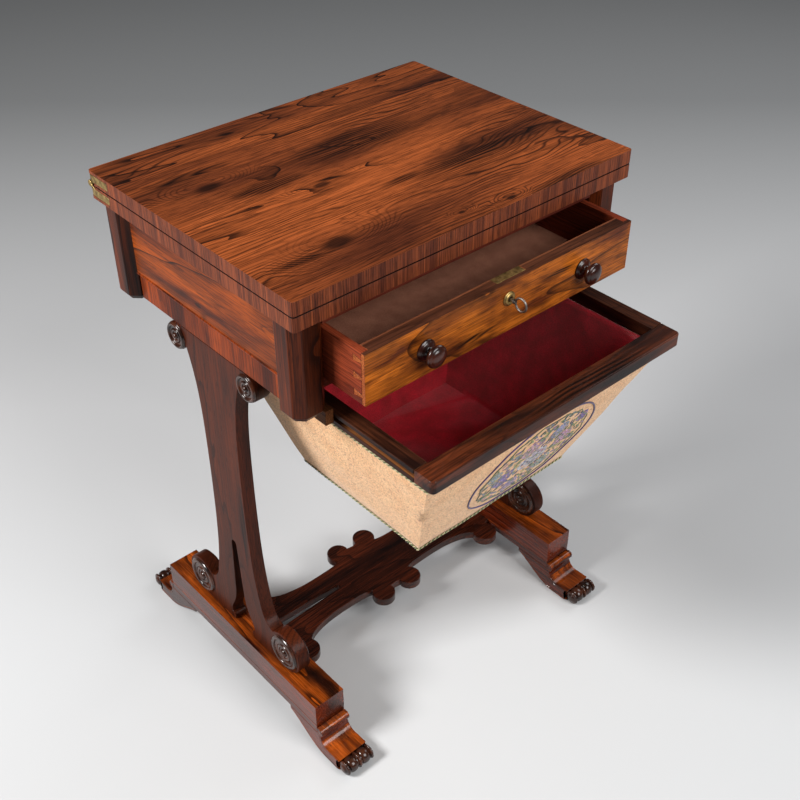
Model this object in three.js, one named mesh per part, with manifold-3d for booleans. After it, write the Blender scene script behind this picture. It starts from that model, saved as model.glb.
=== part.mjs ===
// Games and sewing table with a swivelling fold-over top, a shallow drawer and a sliding work bag.
// Millimetres, +Z up, the drawer faces -Y. The base stands on z = 0, and the origin lies under
// the middle of the table as it stands with its drawer and its bag slide drawn out.
import * as THREE from "three";
import { mergeVertices } from "three/addons/utils/BufferGeometryUtils.js";
import Module from "manifold-3d";

const wasm = await Module();
wasm.setup();

// Driving dimensions: the top
const tableHeight = 735;
const topLength = 517;
const topDepth = 392;
const leafThickness = 17.8;
const leafGap = 0.4;
const leafCornerRadius = 4;
const endOverhang = 5;
const frontOverhang = 9;
const hingePlateLength = 38;
const hingePlateHeight = 9;
const hingePlateThickness = 2;
const hingeKnuckleRadius = 4.2;
const hingePinRadius = 1.3;
const pivotRadius = 6;
const pivotHeadRadius = 12;
const pivotHeadDepth = 5;

// The case
const fit = 0.3;
const postSize = 44;
const postChamfer = 11;
const postToeDrop = 4.3;
const postToeTaper = 5;
const postToeHeight = 7;
const endPanelLift = 0.7;
const endPanelThickness = 18;
const endPanelSetback = 10.3;
const endRailSetback = 2.2;
const endBeadHeight = 3;
const endBeadProud = 1.4;
const endRailHeight = 34.9;
const endRailThickness = 19;
const backPanelThickness = 16;
const backPanelSetback = 4;
const topRailHeight = 18;
const topRailDepth = 30;
const topRailSetback = 9;
const pivotRailWidth = 70;
const pivotRailHeight = 17;
const bladeHeight = 13.5;
const bladeDepth = 40;
const bladeSetback = 13;
const drawerRunnerWidth = 31;

// The drawer
const drawerHeight = 64.8;
const drawerSlack = 0.8;
const drawerHeadroom = 5.4;
const drawerBackDrop = 4;
const drawerFrontThickness = 18;
const drawerSideThickness = 9;
const drawerBackThickness = 9;
const drawerBottomThickness = 5;
const drawerBottomRise = 2.2;
const drawerClosedSetback = 3;
const drawerBackClearance = 17;
const drawerOpen = 59.5;
const dovetailLap = 5;
const dovetailCount = 3;
const dovetailNarrow = 3;
const dovetailWide = 8;
const knobSpacing = 249;
const knobRadius = 13.6;
const knobRoseRadius = 13;
const knobNeckRadius = 5.3;
const knobLength = 23;
const knobShankRadius = 4;
const keyholeDrop = 21.3;
const keyholeRadius = 3.2;
const escutcheonRadius = 9;
const lockWidth = 45;
const lockDepth = 11.2;
const lockHeight = 33;
const lockOffset = 9.7;
const selvedgeThickness = 1.4;
const selvedgeLip = 2.5;
const lockChamberRadius = 8;
const boltWidth = 11.4;
const boltThickness = 2.9;
const boltLength = 12.8;
const mortiseSlack = 1.5;
const mortiseDepth = 6;
const keyStemRadius = 2.4;
const keyBowReach = 18.5;
const keyBowRadius = 8;
const keyWireRadius = 1.3;

// The work-bag slide
const slideDrop = 10.5;
const slideHeight = 17.4;
const slideSideWidth = 19.2;
const slideFrontWidth = 28.7;
const slideBackWidth = 16;
const slideCornerRadius = 6;
const slideOpen = 153;
const grooveHeight = 5.6;
const grooveDepth = 6;
const tongueThickness = 4.6;
const runnerWidth = 11;
const runnerSlack = 0.8;
const runnerClearance = 3.3;
const runnerFlange = 4.5;
const cleatRise = 1;
const cleatHeight = 13;
const tongueStop = 3;
const bagDepth = 198;
const bagSideTaper = 74.2;
const bagLengthTaper = 148;
const bagBottomInset = 100;
const bagCornerRadius = 12;
const bagSeamInset = 5;
const bagFrontSeamInset = 13;
const bagWall = 3;
const bagFloor = 4;
const bagBulge = 5;

// The base
const barWidth = 47.8;
const barHeight = 50;
const barLength = 354;
const barClearance = 40;
const barOuterInset = 5.6;
const standardThickness = 19;
const standardWaist = 73;
const standardInset = 17.5;
const voluteReach = 97;
const voluteRadius = 32;
const scrollReach = 72;
const scrollRadius = 18.5;
const scrollDrop = 20.5;
const flareDrop = 8;
const slotHeight = 172;
const slotTopRadius = 5;
const slotShoulderHeight = 72;
const slotShoulderReach = 9.5;
const slotBeadRadius = 6.2;
const slotBeadReach = 26;
const bossProud = 3.4;
const bossShankRadius = 9;
const footTail = 60;
const footBeadRadius = 6.4;
const footCoveRadius = 16;
const toeRadius = 11.5;
const toeProjection = 65;
const stretcherThickness = 13.5;
const stretcherRise = 0.5;
const stretcherWaist = 73;
const cartoucheLobeRadius = 17.5;
const cartoucheLobeX = 26;
const cartoucheLobeY = 54.5;
const endLobeRadius = 19;
const endLobeInset = 24;
const endLobeY = 64;
const stretcherSlotNear = 72;
const stretcherSlotInset = 28.8;
const stretcherSlotNearRadius = 3.5;
const stretcherSlotFarRadius = 7.5;

// Heights and planes that follow from them
const caseTop = tableHeight - 2 * leafThickness - leafGap - fit;
const caseHalfLength = topLength / 2 - endOverhang;
const caseHalfDepth = topDepth / 2 - frontOverhang;
const postInnerX = caseHalfLength - postSize;
const postInnerY = caseHalfDepth - postSize;
const endPanelFace = caseHalfLength - endPanelSetback;
const endRailFace = endPanelFace - endRailSetback;
const endPanelHeight = topRailHeight + drawerHeadroom + drawerHeight - endPanelLift;
const endRailTop = caseTop - endPanelHeight - fit;
const endRailBottom = endRailTop - endRailHeight;
const postLength = caseTop - endRailBottom + postToeDrop;
const backPanelFace = caseHalfDepth - backPanelSetback;
const drawerTop = caseTop - topRailHeight - drawerHeadroom;
const drawerFloor = drawerTop - drawerHeight;
const keyholeZ = drawerTop - keyholeDrop;
const drawerHalfWidth = postInnerX - drawerSlack;
const runnerOuter = endRailFace - standardThickness - bossProud - fit - runnerClearance;
const runnerInner = runnerOuter - runnerWidth;
const slideHalfWidth = runnerInner - runnerSlack;
const slideLength = caseHalfDepth + backPanelFace;
const slideTop = endRailBottom - slideDrop;
const slideFloor = slideTop - slideHeight;
const barTop = barClearance + barHeight;
const standardFoot = barTop + fit;
const standardHeight = endRailBottom - fit - standardFoot;
const standardCentre = endRailFace - standardThickness / 2;
const barOuter = topLength / 2 - barOuterInset;
const barCentre = barOuter - barWidth / 2;
const toeReach = barLength / 2 + toeProjection;
const scrollHeight = standardHeight - scrollDrop + fit;

// Solids from three.js geometries, and back again
function solidOf(geometry) {
  const bare = geometry.index ? geometry.toNonIndexed() : geometry.clone();
  bare.deleteAttribute("normal");
  bare.deleteAttribute("uv");
  const merged = mergeVertices(bare, 1e-4);
  return new wasm.Manifold(
    new wasm.Mesh({
      numProp: 3,
      vertProperties: merged.attributes.position.array,
      triVerts: new Uint32Array(merged.index.array),
    }),
  );
}

function geometryOf(solid) {
  const mesh = solid.getMesh();
  const geometry = new THREE.BufferGeometry();
  const positions = new Float32Array(mesh.numVert * 3);
  for (let i = 0; i < mesh.numVert; i++) {
    const start = i * mesh.numProp;
    positions.set(mesh.vertProperties.subarray(start, start + 3), i * 3);
  }
  geometry.setAttribute("position", new THREE.BufferAttribute(positions, 3));
  geometry.setIndex(new THREE.BufferAttribute(new Uint32Array(mesh.triVerts), 1));
  geometry.computeVertexNormals();
  return geometry;
}

function join(first, ...others) {
  return geometryOf(others.reduce((sum, other) => sum.add(solidOf(other)), solidOf(first)));
}

function cut(first, ...tools) {
  return geometryOf(tools.reduce((rest, tool) => rest.subtract(solidOf(tool)), solidOf(first)));
}

function moved(geometry, x, y, z) {
  return geometry.clone().translate(x, y, z);
}

// A box given by its low and high ends along each axis
function slab([x0, x1], [y0, y1], [z0, z1]) {
  const box = new THREE.BoxGeometry(x1 - x0, y1 - y0, z1 - z0);
  return box.translate((x0 + x1) / 2, (y0 + y1) / 2, (z0 + z1) / 2);
}

function upright(shape, low, high, curveSegments = 6) {
  const depth = high - low;
  const prism = new THREE.ExtrudeGeometry(shape, { depth, bevelEnabled: false, curveSegments });
  return prism.translate(0, 0, low);
}

// An outline in (Y, Z), extruded along X from low to high
function acrossX(shape, low, high, curveSegments = 6) {
  const prism = upright(shape, low, high, curveSegments);
  const turn = new THREE.Matrix4().makeBasis(
    new THREE.Vector3(0, 1, 0),
    new THREE.Vector3(0, 0, 1),
    new THREE.Vector3(1, 0, 0),
  );
  return prism.applyMatrix4(turn);
}

// An outline in (X, Z), extruded along Y from low to high
function acrossY(shape, low, high, curveSegments = 6) {
  const prism = upright(shape, -high, -low, curveSegments);
  return prism.rotateX(Math.PI / 2);
}

function polygon(points) {
  return new THREE.Shape(points.map(([x, y]) => new THREE.Vector2(x, y)));
}

// A turned piece about the X, Y or Z axis from a profile of [radius, distance along the axis]
function turned(profile, axis, segments) {
  const points = profile.map(([radius, along]) => new THREE.Vector2(radius, along));
  const lathe = new THREE.LatheGeometry(points, segments);
  if (axis === "x") lathe.rotateZ(-Math.PI / 2);
  if (axis === "z") lathe.rotateX(Math.PI / 2);
  return lathe;
}

function rod(radius, axis, low, high, segments = 16) {
  return turned([[0, low], [radius, low], [radius, high], [0, high]], axis, segments);
}

// A solid through a stack of rings that all have the same number of corners
function loft(rings) {
  const count = rings[0].length;
  const positions = rings.flat().flatMap((corner) => [corner.x, corner.y, corner.z]);
  const index = [];
  for (let level = 0; level + 1 < rings.length; level++) {
    for (let i = 0; i < count; i++) {
      const a = level * count + i;
      const b = level * count + ((i + 1) % count);
      index.push(a, b, b + count, a, b + count, a + count);
    }
  }
  const cap = (ring) => ring.map((corner) => new THREE.Vector2(corner.x, corner.y));
  const last = (rings.length - 1) * count;
  for (const [a, b, c] of THREE.ShapeUtils.triangulateShape(cap(rings[0]), [])) {
    index.push(a, c, b);
  }
  for (const [a, b, c] of THREE.ShapeUtils.triangulateShape(cap(rings.at(-1)), [])) {
    index.push(last + a, last + b, last + c);
  }
  const geometry = new THREE.BufferGeometry();
  geometry.setAttribute("position", new THREE.Float32BufferAttribute(positions, 3));
  geometry.setIndex(index);
  return geometry;
}

function roundedRectangle(x0, x1, y0, y1, radius, segments = 3) {
  const corners = [];
  const centres = [
    [x1 - radius, y1 - radius, 0],
    [x0 + radius, y1 - radius, 1],
    [x0 + radius, y0 + radius, 2],
    [x1 - radius, y0 + radius, 3],
  ];
  for (const [x, y, quarter] of centres) {
    for (let i = 0; i <= segments; i++) {
      const angle = (quarter + i / segments) * (Math.PI / 2);
      corners.push([x + radius * Math.cos(angle), y + radius * Math.sin(angle)]);
    }
  }
  return corners;
}

const finishes = {
  rosewood: [0x6b2c14, 0.3, 0],
  burr: [0xa85a1c, 0.3, 0],
  ebonised: [0x2a1712, 0.25, 0],
  mahogany: [0x7c3a22, 0.5, 0],
  beech: [0xb9793f, 0.6, 0],
  brass: [0xa98a45, 0.35, 0.9],
  steel: [0x8d8a86, 0.35, 0.9],
  cloth: [0xdcb183, 0.9, 0],
};

function piece(group, name, geometry, finish, x = 0, y = 0, z = 0) {
  const [color, roughness, metalness] = finishes[finish];
  const material = new THREE.MeshStandardMaterial({ color, roughness, metalness });
  const mesh = new THREE.Mesh(geometry, material);
  mesh.name = name;
  mesh.position.set(x, y, z);
  group.add(mesh);
  return mesh;
}

const sides = [["left", -1], ["right", 1]];
const ends = [["front", -1], ["back", 1]];

// Fold-over top: two leaves hinged at the back edge, turning together on a bolt a quarter of
// the depth from the middle, so that the opened top is centred on the case
const lowerLeafZ = [caseTop + fit, caseTop + fit + leafThickness];
const upperLeafZ = [lowerLeafZ[1] + leafGap, tableHeight];
const pivot = topDepth / 4;
const hingeLineGap = 0.2;

function leafShape() {
  const halfLength = topLength / 2;
  const halfDepth = topDepth / 2;
  return polygon(
    roundedRectangle(-halfLength, halfLength, -halfDepth, halfDepth - hingeLineGap, leafCornerRadius),
  );
}

// A plate let into the end edge of a leaf, with an arm to a knuckle on the hinge line. The lower
// leaf's knuckle is the outer layer and carries the pin, and the upper leaf's turns inside it.
const hingeLine = { y: topDepth / 2, z: lowerLeafZ[1] + leafGap / 2 };
const hingeLayer = (hingePlateThickness - fit) / 2;

function hingePlate(side, leaf) {
  const outer = topLength / 2;
  const inner = outer - hingePlateThickness;
  const back = topDepth / 2 - hingeLineGap - leafCornerRadius;
  const leafZ = leaf === "lower" ? lowerLeafZ : upperLeafZ;
  const zMiddle = (leafZ[0] + leafZ[1]) / 2;
  const zPlate = [zMiddle - hingePlateHeight / 2, zMiddle + hingePlateHeight / 2];
  const layer = leaf === "lower" ? [outer - hingeLayer, outer] : [inner, inner + hingeLayer];
  const plate = slab(span(side, inner, outer), [back - hingePlateLength, back], zPlate);
  const armZ = leaf === "lower" ? zPlate[1] : zPlate[0];
  const arm = polygon([
    [back - 7, armZ],
    [back - 1, zMiddle],
    [hingeLine.y, hingeLine.z],
    [hingeLine.y - hingeKnuckleRadius, hingeLine.z],
  ]);
  const knuckle = rod(hingeKnuckleRadius, "x", ...span(side, ...layer));
  const turnedArm = acrossX(arm, ...span(side, ...layer));
  const eye = moved(knuckle, 0, hingeLine.y, hingeLine.z);
  if (leaf === "upper") {
    const hole = rod(hingePinRadius + fit, "x", ...span(side, inner - 1, outer + 1), 12);
    return cut(join(plate, turnedArm, eye), moved(hole, 0, hingeLine.y, hingeLine.z));
  }
  const pin = rod(hingePinRadius, "x", ...span(side, inner, outer - hingeLayer / 2), 12);
  return join(plate, turnedArm, eye, moved(pin, 0, hingeLine.y, hingeLine.z));
}

function hingePocket(side, zLow, zHigh) {
  const inner = topLength / 2 - hingePlateThickness - fit;
  const outer = topLength / 2 + 1;
  const back = topDepth / 2 - hingeLineGap - leafCornerRadius + fit;
  const plate = slab(
    span(side, inner, outer),
    [back - hingePlateLength - 2 * fit, topDepth / 2 + 1],
    [zLow - fit, zHigh + fit],
  );
  const knuckle = rod(hingeKnuckleRadius + fit, "x", ...span(side, inner, outer));
  const arm = slab(
    span(side, inner, outer),
    [back - 8, topDepth / 2 + 1],
    [Math.min(zLow, hingeLine.z) - fit, Math.max(zHigh, hingeLine.z) + fit],
  );
  return join(plate, arm, moved(knuckle, 0, hingeLine.y, hingeLine.z));
}

function makeTop(root) {
  const top = new THREE.Group();
  const inset = (leafThickness - hingePlateHeight) / 2;
  const lowerPlateZ = [lowerLeafZ[0] + inset, lowerLeafZ[1] - inset];
  const upperPlateZ = [upperLeafZ[0] + inset, tableHeight - inset];
  const boltHole = rod(pivotRadius + fit, "z", lowerLeafZ[0] - 1, lowerLeafZ[1] + 1);
  const headTop = lowerLeafZ[1] + 1;
  const headRecess = rod(pivotHeadRadius + fit, "z", lowerLeafZ[1] - pivotHeadDepth - fit, headTop);
  const lowerLeaf = cut(
    upright(leafShape(), ...lowerLeafZ),
    hingePocket(-1, ...lowerPlateZ),
    hingePocket(1, ...lowerPlateZ),
    moved(boltHole, pivot, pivot, 0),
    moved(headRecess, pivot, pivot, 0),
  );
  const upperLeaf = cut(
    upright(leafShape(), ...upperLeafZ),
    hingePocket(-1, ...upperPlateZ),
    hingePocket(1, ...upperPlateZ),
  );
  piece(top, "lower_leaf", lowerLeaf, "rosewood");
  piece(top, "upper_leaf", upperLeaf, "rosewood");
  for (const [label, side] of sides) {
    piece(top, `hinge_plate_lower_${label}`, hingePlate(side, "lower"), "brass");
    piece(top, `hinge_plate_upper_${label}`, hingePlate(side, "upper"), "brass");
  }
  const boltFoot = caseTop - pivotRailHeight - 4;
  const boltProfile = [
    [0, boltFoot],
    [pivotRadius, boltFoot],
    [pivotRadius, lowerLeafZ[1] - pivotHeadDepth],
    [pivotHeadRadius, lowerLeafZ[1] - pivotHeadDepth],
    [pivotHeadRadius, lowerLeafZ[1] - 1],
    [0, lowerLeafZ[1] - 1],
  ];
  piece(top, "pivot_bolt", turned(boltProfile, "z", 16), "brass", pivot, pivot);
  root.add(top);
}

// Case: four octagonal corner posts with tapered toes, end panels over end rails, a back panel,
// a top rail with the bolt mortise, a drawer blade and runners for the drawer and the bag slide
function octagon(half, chamfer, z) {
  const flat = half - chamfer;
  const corners = [[half, -flat], [half, flat], [flat, half], [-flat, half]];
  const ring = [...corners, ...corners.map(([x, y]) => [-x, -y])];
  return ring.map(([x, y]) => new THREE.Vector3(x, y, z));
}

function postGeometry() {
  const half = postSize / 2;
  const toe = caseTop - postLength;
  return loft([
    octagon(half - postToeTaper, postChamfer - postToeTaper * 0.6, toe),
    octagon(half, postChamfer, toe + postToeHeight),
    octagon(half, postChamfer, caseTop),
  ]);
}

function endPanelShape(side) {
  const bottom = caseTop - endPanelHeight;
  const inner = endPanelFace - endPanelThickness;
  const outline = [
    [inner, bottom],
    [endPanelFace + endBeadProud * 0.6, bottom],
    [endPanelFace + endBeadProud, bottom + endBeadHeight * 0.3],
    [endPanelFace + endBeadProud, bottom + endBeadHeight * 0.7],
    [endPanelFace + endBeadProud * 0.6, bottom + endBeadHeight],
    [endPanelFace, bottom + endBeadHeight],
    [endPanelFace, caseTop],
    [inner, caseTop],
  ];
  return polygon(outline.map(([x, z]) => [x * side, z]));
}

function span(side, near, far) {
  return side > 0 ? [near, far] : [-far, -near];
}

const bladeTop = drawerFloor - fit;
const tongueMiddle = slideFloor + slideHeight / 2;
const runnerLow = tongueMiddle - runnerFlange;

function bagRunner(side) {
  const width = span(side, runnerInner, runnerOuter);
  const wall = endRailFace - endRailThickness - fit;
  const post = caseTop - postLength - fit;
  const cleatLow = endRailBottom + cleatRise;
  const cleatHigh = cleatLow + cleatHeight;
  const lower = slab(width, [-backPanelFace, backPanelFace], [runnerLow, post]);
  const between = postInnerY - fit;
  const web = slab(width, [-between, between], [post - 1, cleatHigh]);
  const cleat = slab(span(side, runnerOuter - 1, wall), [-between, between], [cleatLow, cleatHigh]);
  const tongueFront = -caseHalfDepth + slideFrontWidth + tongueStop;
  const tongue = slab(
    span(side, slideHalfWidth - grooveDepth + 1, runnerInner + 1),
    [tongueFront, backPanelFace],
    [tongueMiddle - tongueThickness / 2, tongueMiddle + tongueThickness / 2],
  );
  return join(lower, web, cleat, tongue);
}

function makeCase(root) {
  const frame = new THREE.Group();
  const post = postGeometry();
  const postX = caseHalfLength - postSize / 2;
  const postY = caseHalfDepth - postSize / 2;
  const between = postInnerY - fit;
  for (const [label, side] of sides) {
    for (const [where, end] of ends) {
      piece(frame, `corner_post_${where}_${label}`, post, "rosewood", postX * side, postY * end);
    }
    piece(frame, `end_panel_${label}`, acrossY(endPanelShape(side), -between, between), "burr");
    const railX = span(side, endRailFace - endRailThickness, endRailFace);
    const rail = slab(railX, [-between, between], [endRailBottom, endRailTop]);
    piece(frame, `end_rail_${label}`, rail, "rosewood");
    const wall = endRailFace - endRailThickness - fit;
    const runner = slab(
      span(side, wall - drawerRunnerWidth, wall),
      [-caseHalfDepth + bladeSetback + bladeDepth + fit, between],
      [bladeTop - bladeHeight, bladeTop],
    );
    piece(frame, `drawer_runner_${label}`, runner, "mahogany");
    piece(frame, `bag_runner_${label}`, bagRunner(side), "beech");
  }
  const insideX = [-postInnerX + fit, postInnerX - fit];
  const backInner = backPanelFace - backPanelThickness;
  const back = slab(insideX, [backInner, backPanelFace], [endRailBottom, caseTop]);
  piece(frame, "back_panel", back, "rosewood");

  const railFront = -caseHalfDepth + topRailSetback;
  const rail = slab(insideX, [railFront, railFront + topRailDepth], [caseTop - topRailHeight, caseTop]);
  const boltY = -caseHalfDepth + drawerClosedSetback + boltLine;
  const mortiseHalfWidth = boltWidth / 2 + mortiseSlack;
  const mortiseHalfDepth = boltThickness / 2 + mortiseSlack;
  const mortise = slab(
    [lockOffset - mortiseHalfWidth, lockOffset + mortiseHalfWidth],
    [boltY - mortiseHalfDepth, boltY + mortiseHalfDepth],
    [caseTop - topRailHeight - 1, caseTop - topRailHeight + mortiseDepth],
  );
  piece(frame, "top_rail", cut(rail, mortise), "mahogany");

  const bladeFront = -caseHalfDepth + bladeSetback;
  const blade = slab(insideX, [bladeFront, bladeFront + bladeDepth], [bladeTop - bladeHeight, bladeTop]);
  piece(frame, "drawer_blade", blade, "mahogany");

  const pivotRail = slab(
    [pivot - pivotRailWidth / 2, pivot + pivotRailWidth / 2],
    [railFront + topRailDepth + fit, backInner - fit],
    [caseTop - pivotRailHeight, caseTop],
  );
  const hole = rod(pivotRadius + fit, "z", caseTop - pivotRailHeight - 1, caseTop + 1);
  piece(frame, "pivot_rail", cut(pivotRail, moved(hole, pivot, pivot, 0)), "mahogany");
  root.add(frame);
}

// Drawer, in the frame of its own closed front: y = 0 is the face of the front
const lockPlane = drawerFrontThickness - lockDepth;
const boltLine = lockPlane + 4.8;
const drawerBack =
  slideLength - drawerClosedSetback - backPanelThickness - drawerBackClearance;

function dovetail(side, middle, slack) {
  const outer = drawerHalfWidth + (slack > 0 ? 1 : 0);
  const narrow = dovetailNarrow / 2 + slack;
  const wide = dovetailWide / 2 + slack;
  const front = dovetailLap - 1;
  const back = drawerFrontThickness + slack;
  const outline = polygon([
    [front, middle - narrow],
    [back, middle - wide],
    [back, middle + wide],
    [front, middle + narrow],
  ]);
  return acrossX(outline, ...span(side, drawerHalfWidth - drawerSideThickness - fit, outer));
}

function dovetails(side, slack) {
  const pitch = drawerHeight / dovetailCount;
  const middles = [];
  for (let i = 0; i < dovetailCount; i++) {
    middles.push(drawerFloor + (i + 0.5) * pitch);
  }
  return middles.map((middle) => dovetail(side, middle, slack));
}

function drawerFrontGeometry() {
  const lap = slab(
    [-drawerHalfWidth, drawerHalfWidth],
    [0, dovetailLap],
    [drawerFloor, drawerTop],
  );
  const bodyHalf = drawerHalfWidth - drawerSideThickness - fit;
  const body = slab([-bodyHalf, bodyHalf], [1, drawerFrontThickness], [drawerFloor, drawerTop]);
  const front = join(lap, body, ...dovetails(-1, 0), ...dovetails(1, 0));
  const lockPocket = slab(
    [lockOffset - lockWidth / 2 - fit, lockOffset + lockWidth / 2 + fit],
    [lockPlane - fit, drawerFrontThickness + 1],
    [drawerTop - lockHeight - fit, drawerTop + 1],
  );
  const keyhole = rod(keyholeRadius, "y", -1, lockPlane + 1);
  const shankHole = rod(knobShankRadius + fit, "y", -1, drawerFrontThickness + 1);
  return cut(
    front,
    lockPocket,
    moved(keyhole, 0, 0, keyholeZ),
    moved(shankHole, -knobSpacing / 2, 0, drawerFloor + drawerHeight / 2),
    moved(shankHole, knobSpacing / 2, 0, drawerFloor + drawerHeight / 2),
  );
}

function drawerSideGeometry(side) {
  const board = slab(
    span(side, drawerHalfWidth - drawerSideThickness, drawerHalfWidth),
    [dovetailLap + fit, drawerBack],
    [drawerFloor, drawerTop],
  );
  return cut(board, ...dovetails(side, fit));
}

function knobGeometry() {
  const profile = [
    [0, drawerFrontThickness - 0.5],
    [knobShankRadius, drawerFrontThickness - 0.5],
    [knobShankRadius, -fit],
    [knobRoseRadius, -fit],
    [knobRoseRadius, -2],
    [knobRoseRadius - 2.7, -4.6],
    [knobNeckRadius, -8],
    [knobNeckRadius, -10.5],
    [knobRadius, -16],
    [knobRadius, -18],
    [knobRadius * 0.66, -knobLength + 1],
    [0, -knobLength],
  ];
  return turned(profile.reverse(), "y", 16);
}

function lockGeometry() {
  const bodyHalf = lockWidth / 2 - selvedgeLip;
  const body = slab(
    [lockOffset - bodyHalf, lockOffset + bodyHalf],
    [lockPlane, drawerFrontThickness - fit],
    [drawerTop - lockHeight, drawerTop - selvedgeThickness / 2],
  );
  const selvedge = slab(
    [lockOffset - lockWidth / 2, lockOffset + lockWidth / 2],
    [lockPlane, drawerFrontThickness - fit],
    [drawerTop - selvedgeThickness, drawerTop - 0.1],
  );
  const boltWay = slab(
    [lockOffset - boltWidth / 2 - fit, lockOffset + boltWidth / 2 + fit],
    [boltLine - boltThickness / 2 - fit, boltLine + boltThickness / 2 + fit],
    [drawerTop - boltLength - 1.4, drawerTop + 1],
  );
  const stemHole = rod(keyholeRadius, "y", lockPlane - 1, lockPlane + 3);
  const chamber = rod(lockChamberRadius, "y", lockPlane + 2, lockPlane + 8.5);
  return cut(
    join(body, selvedge),
    boltWay,
    moved(stemHole, 0, 0, keyholeZ),
    moved(chamber, 0, 0, keyholeZ),
  );
}

function keyGeometry() {
  const bowCentre = -keyBowReach;
  const stem = rod(keyStemRadius, "y", bowCentre + keyBowRadius - 0.6, lockPlane + 8, 12);
  const bow = new THREE.TorusGeometry(keyBowRadius, keyWireRadius, 6, 18);
  bow.rotateY(Math.PI / 2).translate(0, bowCentre, 0);
  const bit = slab([-1, 1], [lockPlane + 3, lockPlane + 7.5], [-lockChamberRadius + 1.2, 0]);
  return join(stem, bow, bit);
}

function makeDrawer(root) {
  const drawer = new THREE.Group();
  drawer.position.y = -caseHalfDepth + drawerClosedSetback - drawerOpen;
  piece(drawer, "drawer_front", drawerFrontGeometry(), "burr");
  for (const [label, side] of sides) {
    piece(drawer, `drawer_side_${label}`, drawerSideGeometry(side), "mahogany");
    const knobX = (knobSpacing / 2) * side;
    const knobZ = drawerFloor + drawerHeight / 2;
    piece(drawer, `drawer_knob_${label}`, knobGeometry(), "ebonised", knobX, 0, knobZ);
  }
  const insideHalf = drawerHalfWidth - drawerSideThickness - fit;
  const bottomLow = drawerFloor + drawerBottomRise;
  const back = slab(
    [-insideHalf, insideHalf],
    [drawerBack - drawerBackThickness, drawerBack],
    [bottomLow + drawerBottomThickness + fit, drawerTop - drawerBackDrop],
  );
  piece(drawer, "drawer_back", back, "mahogany");
  const bottom = slab(
    [-insideHalf, insideHalf],
    [drawerFrontThickness + fit, drawerBack],
    [bottomLow, bottomLow + drawerBottomThickness],
  );
  piece(drawer, "drawer_bottom", bottom, "mahogany");

  const plate = [
    [keyholeRadius, -fit],
    [escutcheonRadius, -fit],
    [escutcheonRadius, -1.4],
    [escutcheonRadius - 2, -3],
    [keyholeRadius + 1, -3.4],
    [keyholeRadius, -2.8],
    [keyholeRadius, -fit],
  ];
  piece(drawer, "escutcheon", turned(plate.reverse(), "y", 20), "brass", 0, 0, keyholeZ);
  piece(drawer, "lock_case", lockGeometry(), "brass");
  const bolt = slab(
    [lockOffset - boltWidth / 2, lockOffset + boltWidth / 2],
    [boltLine - boltThickness / 2, boltLine + boltThickness / 2],
    [drawerTop - boltLength, drawerTop - 0.3],
  );
  piece(drawer, "lock_bolt", bolt, "brass");
  piece(drawer, "key", keyGeometry(), "steel", 0, 0, keyholeZ);
  root.add(drawer);
}

// Bag slide, in the frame of its own closed front rail: y = 0 is the face of the front rail
function sideRailShape(side) {
  const outer = slideHalfWidth;
  const inner = outer - slideSideWidth;
  const low = tongueMiddle - grooveHeight / 2;
  const high = tongueMiddle + grooveHeight / 2;
  const outline = [
    [inner, slideFloor],
    [outer, slideFloor],
    [outer, low],
    [outer - grooveDepth, low],
    [outer - grooveDepth, high],
    [outer, high],
    [outer, slideTop],
    [inner, slideTop],
  ];
  return polygon(outline.map(([x, z]) => [x * side, z]));
}

// Rings of the cloth bag from its floor up to the rails: the sides belly out a little
function bagRings(offset, floorZ, topZ) {
  const rings = [];
  const levels = 5;
  const topHalf = slideHalfWidth - bagSeamInset;
  const floorHalf = slideHalfWidth - bagSideTaper;
  const seamY = [bagFrontSeamInset, slideLength - bagSeamInset];
  const floorY = [bagBottomInset, bagBottomInset + slideLength - bagLengthTaper];
  const bagLow = slideFloor - fit - bagDepth;
  for (let i = 0; i <= levels; i++) {
    const z = floorZ + ((topZ - floorZ) * i) / levels;
    const t = (z - bagLow) / bagDepth;
    const bulge = bagBulge * Math.sin(Math.PI * t);
    const halfX = floorHalf + (topHalf - floorHalf) * t + bulge - offset;
    const y0 = floorY[0] + (seamY[0] - floorY[0]) * t - bulge + offset;
    const y1 = floorY[1] + (seamY[1] - floorY[1]) * t + bulge - offset;
    const corners = roundedRectangle(-halfX, halfX, y0, y1, bagCornerRadius - offset);
    rings.push(corners.map(([x, y]) => new THREE.Vector3(x, y, z)));
  }
  return rings;
}

function bagGeometry() {
  const top = slideFloor - fit;
  const low = top - bagDepth;
  const outside = loft(bagRings(0, low, top));
  const inside = loft(bagRings(bagWall, low + bagFloor, top + 1));
  return cut(outside, inside);
}

function makeBagSlide(root) {
  const slide = new THREE.Group();
  slide.position.y = -caseHalfDepth - slideOpen;
  const frontShape = new THREE.Shape();
  const corner = slideCornerRadius;
  frontShape.moveTo(-slideHalfWidth, slideFrontWidth);
  frontShape.lineTo(-slideHalfWidth, corner);
  frontShape.absarc(-slideHalfWidth + corner, corner, corner, Math.PI, 1.5 * Math.PI, false);
  frontShape.absarc(slideHalfWidth - corner, corner, corner, 1.5 * Math.PI, 2 * Math.PI, false);
  frontShape.lineTo(slideHalfWidth, slideFrontWidth);
  piece(slide, "bag_rail_front", upright(frontShape, slideFloor, slideTop), "rosewood");
  for (const [label, side] of sides) {
    const rail = acrossY(sideRailShape(side), slideFrontWidth + fit, slideLength);
    piece(slide, `bag_rail_${label}`, rail, "rosewood");
  }
  const insideHalf = slideHalfWidth - slideSideWidth - fit;
  const back = slab(
    [-insideHalf, insideHalf],
    [slideLength - slideBackWidth, slideLength],
    [slideFloor, slideTop],
  );
  piece(slide, "bag_rail_back", back, "rosewood");
  piece(slide, "work_bag", bagGeometry(), "cloth");
  root.add(slide);
}

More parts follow.
